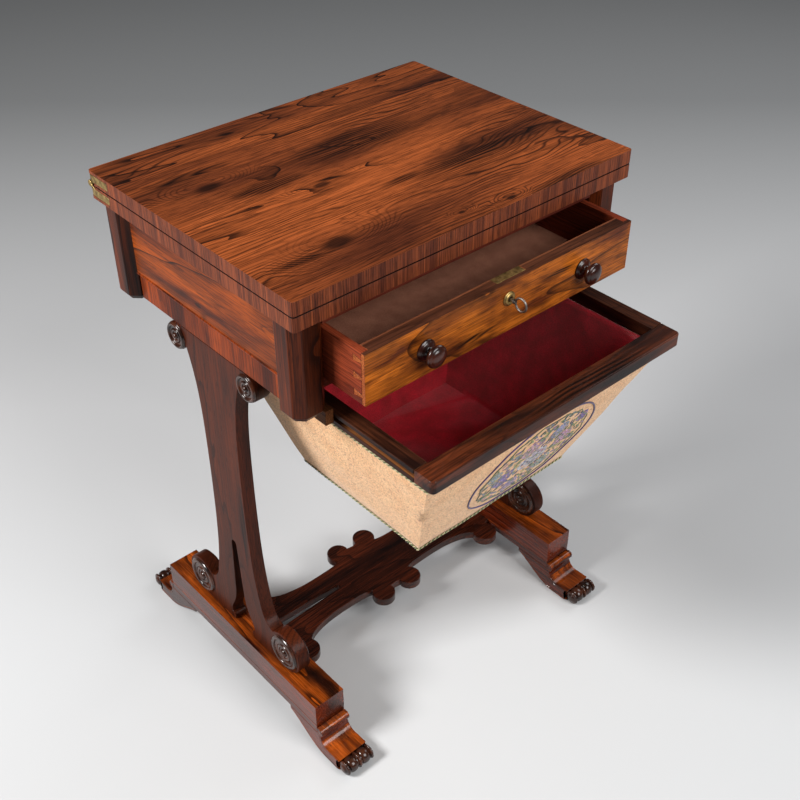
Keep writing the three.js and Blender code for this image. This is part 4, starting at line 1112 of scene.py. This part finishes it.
for name, walls, slot, material, nodes, thickness in (
    ("canvas_bag", shell, "bag_cloth", canvas, ["work_bag"], CANVAS_THICKNESS),
    ("crimson_lining", lining, "bag_lining", crimson, [], LINING_THICKNESS),
):
    made = piece(name, walls, "bag_slide", slot, [material], nodes, crease=70)
    thicken = made.modifiers.new("cloth_thickness", "SOLIDIFY")
    thicken.thickness = thickness * MM
    thicken.offset = -1

# Gimp braid
# Cream and green yarns twisted together and sewn down along the bag's bottom edges and round its
# walls under the rails.

GIMP_TWIST, GIMP_YARN, GIMP_PITCH, GIMP_STEP = 0.9, 0.85, 7, 0.9
GIMP_RISE, GIMP_DROP, GIMP_PROUD, GIMP_SUNK = 0.6, 8, 0.7, -1.2


def yarn(name, points, radius, material):
    """A closed round yarn through the points, on the bag slide."""
    line = bpy.data.curves.new(name, "CURVE")
    line.dimensions = "3D"
    line.bevel_depth = radius * MM
    line.bevel_resolution = 1
    run = line.splines.new("POLY")
    run.points.add(len(points) - 1)
    run.points.foreach_set("co", [value for point in points for value in (*point, 1)])
    run.use_cyclic_u = True
    line.materials.append(material)
    made = placed(name, line)
    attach(made, "bag_slide")


def twisted(path, phase):
    """The middle line of one yarn that winds round a closed path in metres."""
    ends = path[1:] + path[:1]
    total = sum((end - start).length for start, end in zip(path, ends)) / MM
    turns = round(total / GIMP_PITCH)
    points = []
    travelled = 0.0
    for start, end in zip(path, ends):
        length = (end - start).length / MM
        outward = (end - start).normalized().cross(Z)
        steps = max(1, round(length / GIMP_STEP))
        for i in range(steps):
            angle = 2 * math.pi * turns * (travelled + length * i / steps) / total + phase
            wound = outward * math.cos(angle) + Z * math.sin(angle)
            points.append(start.lerp(end, i / steps) + wound * (GIMP_TWIST * MM))
        travelled += length
    return points


cream = cloth("Silk gimp, cream", "#e3d6a8", "#c9b888", "#9d8a5c", 0.5, 0.4, 0.7, 0.3)
green = cloth("Silk gimp, green", "#6d7d42", "#4c5c2e", "#35421f", 0.5, 0.4, 0.7, 0.3)
for where, level, rise, proud in (
    ("bottom", 0, GIMP_RISE, GIMP_PROUD),
    ("upper", -1, -GIMP_DROP, GIMP_SUNK),
):
    path = pulled(outer_rings[level], outer_heights[level] + rise, CANVAS_PULL, CANVAS_SEED, proud)
    for shade, material, phase in (("cream", cream, 0.0), ("green", green, math.pi)):
        yarn(f"{shade}_gimp_{where}", twisted(path, phase), GIMP_YARN, material)

# Needlework
# A wreath of flowers and leaves in dyed wool on the bag's front wall, within a purple outline and a
# scalloped olive one. It stands a little proud of the canvas.

OVAL_ACROSS, OVAL_DOWN, OVAL_HALF_WIDTH, OVAL_HALF_HEIGHT = 15, 113, 100, 92
OUTLINE_STEPS, SCALLOPS, PETAL_RISE = 180, 14, 0.7
wall_down = Vector((0, BAG_BOTTOM_INSET - BAG_TOP_INSET, -bag_depth)).normalized()
wall_in = X.cross(wall_down)
dice = random.Random(11)


def on_wall(across, down, proud):
    """The place at millimetres across and down the front wall, and proud of the canvas."""
    flat = Vector((across, slide_front + BAG_TOP_INSET, bag_top)) * MM + wall_down * (down * MM)
    place = wall_tree.ray_cast(flat - wall_in * 0.05, wall_in)[0]
    return place - wall_in * (proud * MM)


purple = cloth("Wool, purple", "#523a7a", "#3b2959", "#26193c", 0.9, 0.3, 0.9, 0.4)
olive = cloth("Wool, olive and grey", "#7c8458", "#565f4c", "#343a3c", 0.9, 0.3, 0.9, 0.6)
for label, inset, depth, radius, material in (
    ("outer", 1.0, 0.0, 1.25, purple),
    ("inner", 0.88, 0.04, 0.8, olive),
):
    points = []
    for i in range(OUTLINE_STEPS):
        angle = 2 * math.pi * i / OUTLINE_STEPS
        reach = inset - depth * abs(math.sin(angle * SCALLOPS / 2))
        across = OVAL_ACROSS + OVAL_HALF_WIDTH * reach * math.cos(angle)
        points.append(on_wall(across, OVAL_DOWN + OVAL_HALF_HEIGHT * reach * math.sin(angle), 0.3))
    yarn(f"{label}_outline", points, radius, material)

ball = bmesh.new()
bmesh.ops.create_uvsphere(ball, u_segments=8, v_segments=5, radius=1)
ball_mesh = mesh_of("ball", ball)
stitches = bmesh.new()
dye = stitches.loops.layers.float_color.new("yarn")


def petal(across, down, length, width, turned, colour):
    """One padded stitch group, a flattened ball laid on the canvas, in millimetres."""
    along = X * math.cos(turned) + wall_down * math.sin(turned)
    spread = Matrix((along * length, wall_in.cross(along) * width, wall_in * PETAL_RISE)).transposed() * MM
    laid = ball_mesh.copy()
    laid.transform(Matrix.Translation(on_wall(across, down, 0.0)) @ spread.to_4x4())
    known = len(stitches.faces)
    stitches.from_mesh(laid)
    bpy.data.meshes.remove(laid)
    brightness = dice.uniform(0.6, 1.2)
    tint = [min(value * brightness, 1) for value in linear(colour)[:3]] + [1]
    for face in stitches.faces[known:]:
        for loop in face.loops:
            loop[dye] = tint


LEAF_COUNT, LEAF_LENGTHS, LEAF_WIDTHS, LEAF_REACH = 420, (3, 7.5), (1.3, 2.6), 0.85
LEAF_DYES = ("#5f7038", "#7f8d48", "#3c5240", "#6b7f88", "#4c477c", "#96708c", "#b59a60", "#39443a")
for i in range(LEAF_COUNT):
    angle = dice.uniform(0, 2 * math.pi)
    reach = LEAF_REACH * math.sqrt(dice.random())
    across = OVAL_ACROSS + OVAL_HALF_WIDTH * reach * math.cos(angle)
    down = OVAL_DOWN + OVAL_HALF_HEIGHT * reach * math.sin(angle)
    length, width = dice.uniform(*LEAF_LENGTHS), dice.uniform(*LEAF_WIDTHS)
    petal(across, down, length, width, dice.uniform(0, math.pi), dice.choice(LEAF_DYES))

# Each bloom is (across, down, radius, colour), in rings of petals about its middle.
BLOOM_RINGS = 3
BLOOMS = (
    (0, 2, 25, "#b8b6c2"), (-44, 14, 18, "#7b66a4"), (-20, -34, 17, "#c49aa8"), (26, -42, 16, "#8a93b8"),
    (50, -6, 17, "#c58fb0"), (34, 36, 16, "#93a3a0"), (-16, 52, 15, "#a08ab4"), (-70, -12, 12, "#8fa0a8"),
    (66, -42, 11, "#7b66a4"),
)
for middle_across, middle_down, reach, colour in BLOOMS:
    for ring in range(BLOOM_RINGS):
        count = 5 + 4 * ring
        radius = reach * (ring + 0.45) / BLOOM_RINGS
        for i in range(count):
            angle = 2 * math.pi * (i + 0.5 * ring) / count
            across = OVAL_ACROSS + middle_across + radius * math.cos(angle)
            down = OVAL_DOWN + middle_down + radius * math.sin(angle)
            petal(across, down, reach * 0.22, reach * 0.13, angle + math.pi / 2, colour)

bpy.data.meshes.remove(ball_mesh)
wool = blank("Wool, dyed, in tent stitch")
place = add(wool, "TexCoord").outputs["Object"]
dyed = add(wool, "Attribute", attribute_name="yarn").outputs[0]
stitch = add(wool, "TexVoronoi", {"Vector": place, "Scale": 650.0}).outputs[0]
depth = add(wool, "MapRange", {"Value": stitch, "From Max": 0.7, "To Min": 1.15, "To Max": 0.6}).outputs[0]
tone = add(wool, "Mix", {0: 0.9, 6: dyed, 7: depth}, data_type="RGBA", blend_type="MULTIPLY").outputs[2]
bump = add(wool, "Bump", {"Height": depth, "Strength": 0.5, "Distance": 0.0006}).outputs[0]
surface(wool, Base_Color=tone, Roughness=0.9, Normal=bump, Sheen_Weight=0.3)
piece("wool_flowers", stitches, "bag_slide", "needlework", [wool], crease=70, flat=False)
